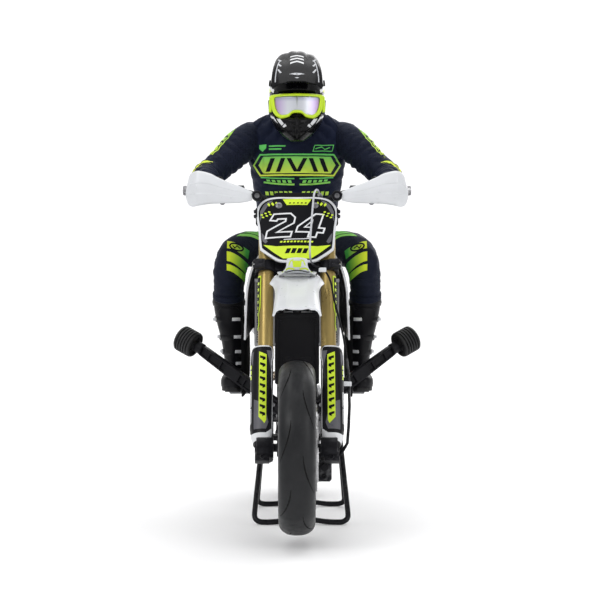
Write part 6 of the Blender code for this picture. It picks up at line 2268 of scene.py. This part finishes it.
def silencer():
    """The silencer's sleeve from (x, y, z, radius), its end caps with six screws, and its bracket."""
    can = smooth_line([(-38, 262, 177, 4.8), (-39, 275, 182, 8.6), (-39.1, 284, 185.4, 9.6),
                       (-39.5, 330, 203, 10),
                       (-39.5, 376, 220.6, 10), (-39.5, 384, 223.4, 9.4), (-39.5, 392, 226, 7.6)], 6)
    bm = bmesh.new()
    sweep_into(bm, [p[:3] for p in can], [p[3] for p in can], 40, 1.0)
    sleeve = brushed("silencer sleeve", (0.5, 0.5, 0.51), 0.34, (60, 60, 900))
    wear(keep(bm, "silencer", sleeve), "chassis", "steel")
    bm = bmesh.new()
    axis = Vector((0, 100, 38)).normalized()
    rear = (-39.5, 374, 219.8)
    for at, r in (((-39.1, 286, 186.2), 9.8), (rear, 10.1)):
        spin_into(bm, [(-2.4, r - 0.4), (-2.4, r + 0.5), (2.4, r + 0.5), (2.4, r - 0.4)], at, axis, 40)
    outlet = [(0, 7.8), (0.4, 8.4), (3.0, 7.2), (3.0, 5.2), (-4, 5.0), (-4, 7.4)]
    spin_into(bm, outlet, (-39.5, 390, 225.2), axis, 36)
    for angle in turns(6):
        out = out_from(axis, angle)
        bolt_into(bm, Vector(rear) + out * 10.4, out, 0.9, 0.6)
    box_into(bm, (-32, 330, 214), (6.5, 4, 1.6))
    wear(keep(bm, "silencer_caps", SATIN, bevel=0.2), "chassis", "black_alloy")


# ---- crash rollers, stand, frame and drive -------------------------------------------------------
def outrigger(side, side_name):
    """A moulded I-section arm with webs and a boss, from the frame to the roller's axle."""
    axis = mirror(side, ROLLER_AXIS)
    start, end = mirror(side, (13, 119, 108)), mirror(side, ROLLER) - axis * 12
    way = (end - start).normalized()
    up = (Z - way * way.z).normalized()
    flat = way.cross(up)
    length = (end - start).length
    web, flange = 1.7, 4.0
    outline = [(-flange, 5.6), (flange, 5.6), (flange, 4.0), (web, 3.2), (web, -3.2), (flange, -4.0),
               (flange, -5.6),
               (-flange, -5.6), (-flange, -4.0), (-web, -3.2), (-web, 3.2), (-flange, 4.0)]
    bm = bmesh.new()
    rings = []
    for s, grow in ((0.0, 1.0), (0.3, 1.0), (0.62, 0.96), (0.93, 0.86), (1.0, 0.72)):
        rings.append([start + way * length * s + flat * a * grow + up * b * grow for a, b in outline])
    skin(bm, rings)
    for s in (0.16, 0.3, 0.44, 0.72, 0.86):
        skin(bm, [oval(start + way * (length * s + d), flat, up, 3.6, 4.9, 24, 8) for d in (-0.8, 0.8)])
    boss = ((0.5, 3.9, 5.2), (0.52, 4.3, 5.8), (0.64, 4.3, 5.8), (0.66, 3.9, 5.2))
    skin(bm, [oval(start + way * (length * s), flat, up, a, b, 32, 6) for s, a, b in boss])
    spin_into(bm, [(-5.6, 0), (-5.6, 4.6), (-5, 5.4), (2.4, 5.4), (2.8, 4.4), (3.2, 4.4), (3.2, 2.4),
                   (18, 2.4),
                   (18, 0)], end, axis, 40)
    spin_into(bm, [(-3.4, 0), (-3.4, 4.2), (3.4, 4.2), (3.4, 0)], start + way * 4, flat, 28)
    made = keep(bm, f"outrigger_{side_name}", BLACK, bevel=0.4)
    wear(made, "chassis", "black_plastic", f"outrigger_{side_name}")
    bm = bmesh.new()
    for s in (0.09, 0.18):
        for turn in (1, -1):
            bolt_into(bm, start + way * length * s + flat * turn * 2.6, flat * turn, 2.0, 1.8)
    wear(keep(bm, f"outrigger_bolts_{side_name}", DARK_STEEL), "chassis", "black_alloy")


def roller(side, side_name):
    """A grooved rubber roller with five screws in its face."""
    axis, centre = mirror(side, ROLLER_AXIS), mirror(side, ROLLER)
    profile = [(-8.5, 2.8), (-8.5, 4.6), (-7.6, 4.8), (-7.6, 8.6), (-8.5, 8.8), (-8.5, 11.0), (-7.9, 12.0),
               (-7.0, 12.4)]
    for left in (-6.2 + 2.9 * i for i in range(5)):
        profile += [(left, 12.6), (left + 0.25, 11.5), (left + 0.55, 11.2), (left + 0.95, 11.2),
                    (left + 1.25, 11.5),
                    (left + 1.5, 12.6)]
    profile += [(8.6, 12.3), (9.8, 11.0), (10.7, 8.6), (11.2, 6.0), (11.3, 3.4), (11.0, 0), (8, 0), (8, 2.8)]
    made = spun(f"roller_{side_name}", RIB_RUBBER, profile, centre, axis, 72, smooth=30)
    wear(made, f"roller_{side_name}_body", "hard_rubber", f"roller_{side_name}")
    bm = bmesh.new()
    for angle in turns(5):
        out = out_from(axis, angle)
        rod_into(bm, centre - axis * 8.3 + out * 6.7, centre - axis * 7.2 + out * 6.7, 0.9, 12, 0.1)
    wear(keep(bm, f"roller_face_{side_name}", SATIN), f"roller_{side_name}_body", "black_plastic")


STAND_X = 4


def stand():
    """Two bent wires with their feet on the floor, and the ribbed plate that they carry."""
    bm = bmesh.new()
    for top_y, foot_y in ((181, 130), (203, 269)):
        half = [(0, 1.0, 6.8), (24, 1.0, 2.6), (44.6, 1.0, 2.6), (37.5, 0, 76.5)]
        line = [(-x, share, z) for x, share, z in reversed(half[1:])] + half
        corners = [Vector((STAND_X + x, top_y + (foot_y - top_y) * share, z)) for x, share, z in line]
        sweep_into(bm, round_corners(corners, 11, 10), 2.55, 20)
    made = keep(bm, "stand_wires", WIRE)
    wear(made, "stand_body", "black_wire", "stand")
    bm = bmesh.new()
    outline = []
    for cx, cy, a0 in ((31, 201, 0), (-31, 201, 90), (-31, 183, 180), (31, 183, 270)):
        for k in range(7):
            a = math.radians(a0 + 15 * k)
            outline.append((STAND_X + cx + 6 * math.cos(a), cy + 7 * math.sin(a)))
    skin(bm, [[Vector((x, y, z)) for x, y in outline] for z in (77.2, 79.0)])
    for y in (176.8, 207.2):
        box_into(bm, (STAND_X, y, 76.4), (29, 0.8, 1.6))
    for x in (-24, -12, 0, 12, 24):
        box_into(bm, (STAND_X + x, 192, 76.4), (0.8, 14, 1.2))
    wear(keep(bm, "stand_top", BLACK, bevel=0.4), "stand_body", "black_plastic")


def cad_finishes():
    """Finishes for the chassis parts whose CAD shape already shows."""
    for mat, nodes in ((FRAME_METAL, ("main_frame", "swingarm")), (BLACK_METAL, ("motor_case",)),
                       (SATIN, ("battery_pack", "steering_servo")), (STEEL, ("shock_rod",)),
                       (BLACK, ("skid_plate",)),
                       (DARK_STEEL, ("drive_motor", "footpegs", "chain")), (ALLOY, ("shock_body",))):
        for node in nodes:
            NODES[node].data.materials[0] = mat


def motor_details():
    """Cooling fins, the two round covers with their screws, the motor leads and the battery's straps."""
    bm = bmesh.new()
    for i in range(7):
        box_into(bm, (0, 151.8, 141 + 3.2 * i), (13.8, 15.6, 0.6))
    middle = (0, 180, 120)
    lid = [(14.2, 0), (14.2, 11), (15.6, 12.4), (17.2, 12.4), (17.8, 11.4), (17.8, 0)]
    spin_into(bm, lid, middle, (-1, 0, 0), 40)
    spin_into(bm, [(14.0, 14.9), (14.0, 18.6), (15.4, 18.2), (16.0, 16.4), (16.0, 14.9)], middle,
              (1, 0, 0), 40)
    for angle in turns(6):
        for side, x, r in ((-1, 17.8, 9.4), (1, 15.6, 16.8)):
            bolt_into(bm, round_axle(middle, side * x, angle, r), (side, 0, 0), 1.3, 0.9)
    for y, z in ((137, 104), (137, 134), (197, 103), (198, 136)):
        for side in SIDES:
            bolt_into(bm, (side * 14.6, y, z), (side, 0, 0), 2.1, 1.4)
    wear(keep(bm, "motor_covers", ALLOY, bevel=0.25), "chassis", "black_alloy")
    bm = bmesh.new()
    for z in (172, 186, 199):
        box_into(bm, (0, 155, z), (12.1, 21.6, 1.3))
    box_into(bm, (0, 145.5, 226.4), (8.6, 11, 0.8))
    for x, y in ((-7, 137), (7, 137), (-7, 154), (7, 154)):
        bolt_into(bm, (x, y, 226.9), (0, 0, 1), 1.2, 0.8)
    wear(keep(bm, "battery_straps", GREY, bevel=0.2), "chassis", "black_plastic")
    lead = [(-8, 177, 196), (-10, 186, 192), (-9, 190, 176), (-6, 188, 158), (-6, 182, 138)]
    for k, (mat, shift) in enumerate(((MOTOR_WIRE, 0.0), (BLACK, 3.0), (MOTOR_WIRE, 6.0))):
        bm = bmesh.new()
        sweep_into(bm, smooth_line([(x + shift, y, z) for x, y, z in lead], 8), 1.2, 12)
        wear(keep(bm, f"motor_lead_{k}", mat), "chassis", "black_wire")


def frame_details():
    """Bosses at the frame's pivots, teeth and bolts on the footpegs, headset rings and skid plate screws."""
    bm = bmesh.new()
    for side in SIDES:
        for x, y, z, r in ((33, 212, 107, 5.4), (16.5, 330, 222, 2.6), (20.2, 206, 150, 3.0),
                           (17.2, 222, 199, 4.2)):
            boss = [(-1, 0), (-1, r), (0.8, r), (1.6, r * 0.8), (1.6, r * 0.4), (0.6, r * 0.35), (0.6, 0)]
            spin_into(bm, boss, (side * x, y, z), (side, 0, 0), 20)
        for i in range(7):
            box_into(bm, (side * (34 + 5 * i), 203, 123.9), (0.9, 4.8, 0.9))
        bolt_into(bm, (side * 29, 201, 114), (side, 0, 0), 2.2, 1.4)
    headset = [(-1.2, 6.2), (-1.2, 9.6), (-0.6, 10), (0.6, 10), (1.2, 9.6), (1.2, 6.2)]
    for t in (184, 219):
        spin_into(bm, headset, in_fork(0, 0, t), fork_way(0, 0, 1), 32)
    wear(keep(bm, "frame_hardware", DARK_STEEL, bevel=0.1), "chassis", "black_alloy")
    bm = bmesh.new()
    below = ray_place(NODES["skid_plate"], (0, 0, 1), (0, 0, 60), X, Y, 0.0)
    for x in (-13, 13):
        for y in (128, 158, 196):
            at = below(x, y)
            if at:
                bolt_into(bm, at, (0, 0, -1), 1.8, 0.9)
    wear(keep(bm, "skid_bolts", DARK_STEEL), "chassis", "black_alloy")


def chain_line(front, front_r, rear, rear_r):
    """The (y, z) line of a chain round two sprockets."""
    across = math.atan2(rear.z - front.z, rear.y - front.y)
    span = math.hypot(rear.y - front.y, rear.z - front.z)
    quarter = math.pi / 2
    lean = math.asin((rear_r - front_r) / span)
    loop = []
    for centre, radius, first, last in (
        (rear, rear_r, across + quarter + lean, across - quarter - lean),
        (front, front_r, across - quarter - lean, across - 3 * math.pi / 2 + lean),
    ):
        for i in range(25):
            angle = first + (last - first) * i / 24
            loop.append((centre.y + radius * math.cos(angle), centre.z + radius * math.sin(angle)))
    return loop + loop[:1]


def chain():
    """Separate links and their pins round the two sprockets, and the front sprocket."""
    front = Vector((0, 212, 107))
    loop = chain_line(front, 10.2, REAR_AXLE, 31.3)
    lengths = distances(loop)

    def on_loop(distance):
        distance %= lengths[-1]
        k = max(i for i in range(len(loop) - 1) if lengths[i] <= distance)
        s = (distance - lengths[k]) / max(1e-6, lengths[k + 1] - lengths[k])
        return Vector((0, loop[k][0] + (loop[k + 1][0] - loop[k][0]) * s,
                       loop[k][1] + (loop[k + 1][1] - loop[k][1]) * s))

    bm = bmesh.new()
    wanted_pitch = 3.9
    count = 2 * round(lengths[-1] / wanted_pitch / 2)
    pitch = lengths[-1] / count
    for i in range(count):
        pin, along = on_loop(i * pitch), on_loop((i + 1) * pitch) - on_loop(i * pitch)
        rod_into(bm, pin + X * 21.2, pin + X * 24.6, 0.8, 10, 0.1)
        up = Vector((0, -along.z, along.y)).normalized()
        outline = []
        for a in turns(12):
            near_end = abs(math.cos(a)) > 0.3
            shift = along * (0.5 + 0.5 * math.copysign(1, math.cos(a)) if near_end else 0.5)
            pinch = 1.25 if near_end else 0.85
            outline.append(pin + shift + along.normalized() * math.cos(a) * 1.25 + up * math.sin(a) * pinch)
        for x in ((21.55, 24.15) if i % 2 else (22.0, 23.7)):
            skin(bm, [[p + X * (x + half) for p in outline] for half in (-0.2, 0.2)])
    wear(keep(bm, "chain_links", DARK_STEEL), "swingarm_assembly", "steel", "chain")
    made = gear("front_sprocket", "drive_sprocket_body", front + 22.85 * X, 7.6, 10.0, 14, 4.2, STEEL)
    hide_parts("drive_sprocket")


def shock():
    """The shock's yellow coil, the collars on its body, and the reservoir beside it."""
    top, foot = Vector((0, 222, 199)), Vector((0, 256, 116))
    down = (foot - top).normalized()
    side_way, other = X, down.cross(X)
    first, last = 28.6, (foot - top).length - 14.6
    coils, steps = 6, 32
    coil = []
    for s in (i / (coils * steps) for i in range(coils * steps + 1)):
        a = 2 * math.pi * coils * s
        turned = (side_way * math.cos(a) + other * math.sin(a)) * 9.8
        coil.append(top + down * (first + (last - first) * s) + turned)
    bm = bmesh.new()
    sweep_into(bm, coil, 1.55, 14)
    lacquer = moulded("spring lacquer", (0.62, 0.5, 0.02), 0.28, coat=0.5)
    spring = keep(bm, "shock_coil", lacquer, smooth=180)
    tuple(row(top + down * first))
    tuple(row(top + down * last))
    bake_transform(spring)
    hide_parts("shock_spring")
    bm = bmesh.new()
    for d, r in ((13, 8.6), (16, 8.6), (19, 8.6), (25.6, 12.2)):
        spin_into(bm, [(-0.7, r - 1.2), (-0.7, r), (0.7, r), (0.7, r - 1.2)], top + down * d, down, 36)
    aside = Vector((10, -6, 0))
    rod_into(bm, top + down * 8 + aside, top + down * 34 + aside, 5.2, 28)
    wear(keep(bm, "shock_reservoir", GOLD, bevel=0.2), "shock_upper", "gold")


def axle_hardware():
    """Axle nuts, chain adjusters and screws on the swingarm, and the brake pipe along it."""
    bm = bmesh.new()
    for side in SIDES:
        rod_into(bm, (side * 31.8, 370, 85.5), (side * 36.2, 370, 85.5), 5.4, 6)
        box_into(bm, (side * 32.6, 379, 85.6), (1.4, 5, 4.6))
        bolt_into(bm, (side * 32.4, 384, 85.6), (0, 1, 0), 1.6, 2.2)
        for y, z in ((238, 104.5), (300, 95), (340, 89.5)):
            bolt_into(bm, (side * 31.6, y, z), (side, 0, 0), 1.5, 1.0)
    sweep_into(bm, smooth_line([(31.0, 232, 113), (31, 262, 110), (31, 300, 105), (31, 322, 101)], 5),
               1.1, 10)
    wear(keep(bm, "axle_hardware", DARK_STEEL, bevel=0.2), "swingarm_assembly", "black_alloy")


for side_of, side_label in SIDES.items():
    shroud(side_of, side_label)
radiators()
tank()
seat()
tail()
for side_of, side_label in SIDES.items():
    side_panel(side_of, side_label)
tail_light()
exhaust()
silencer()
for side_of, side_label in SIDES.items():
    outrigger(side_of, side_label)
    roller(side_of, side_label)
stand()
cad_finishes()
motor_details()
frame_details()
chain()
shock()
axle_hardware()
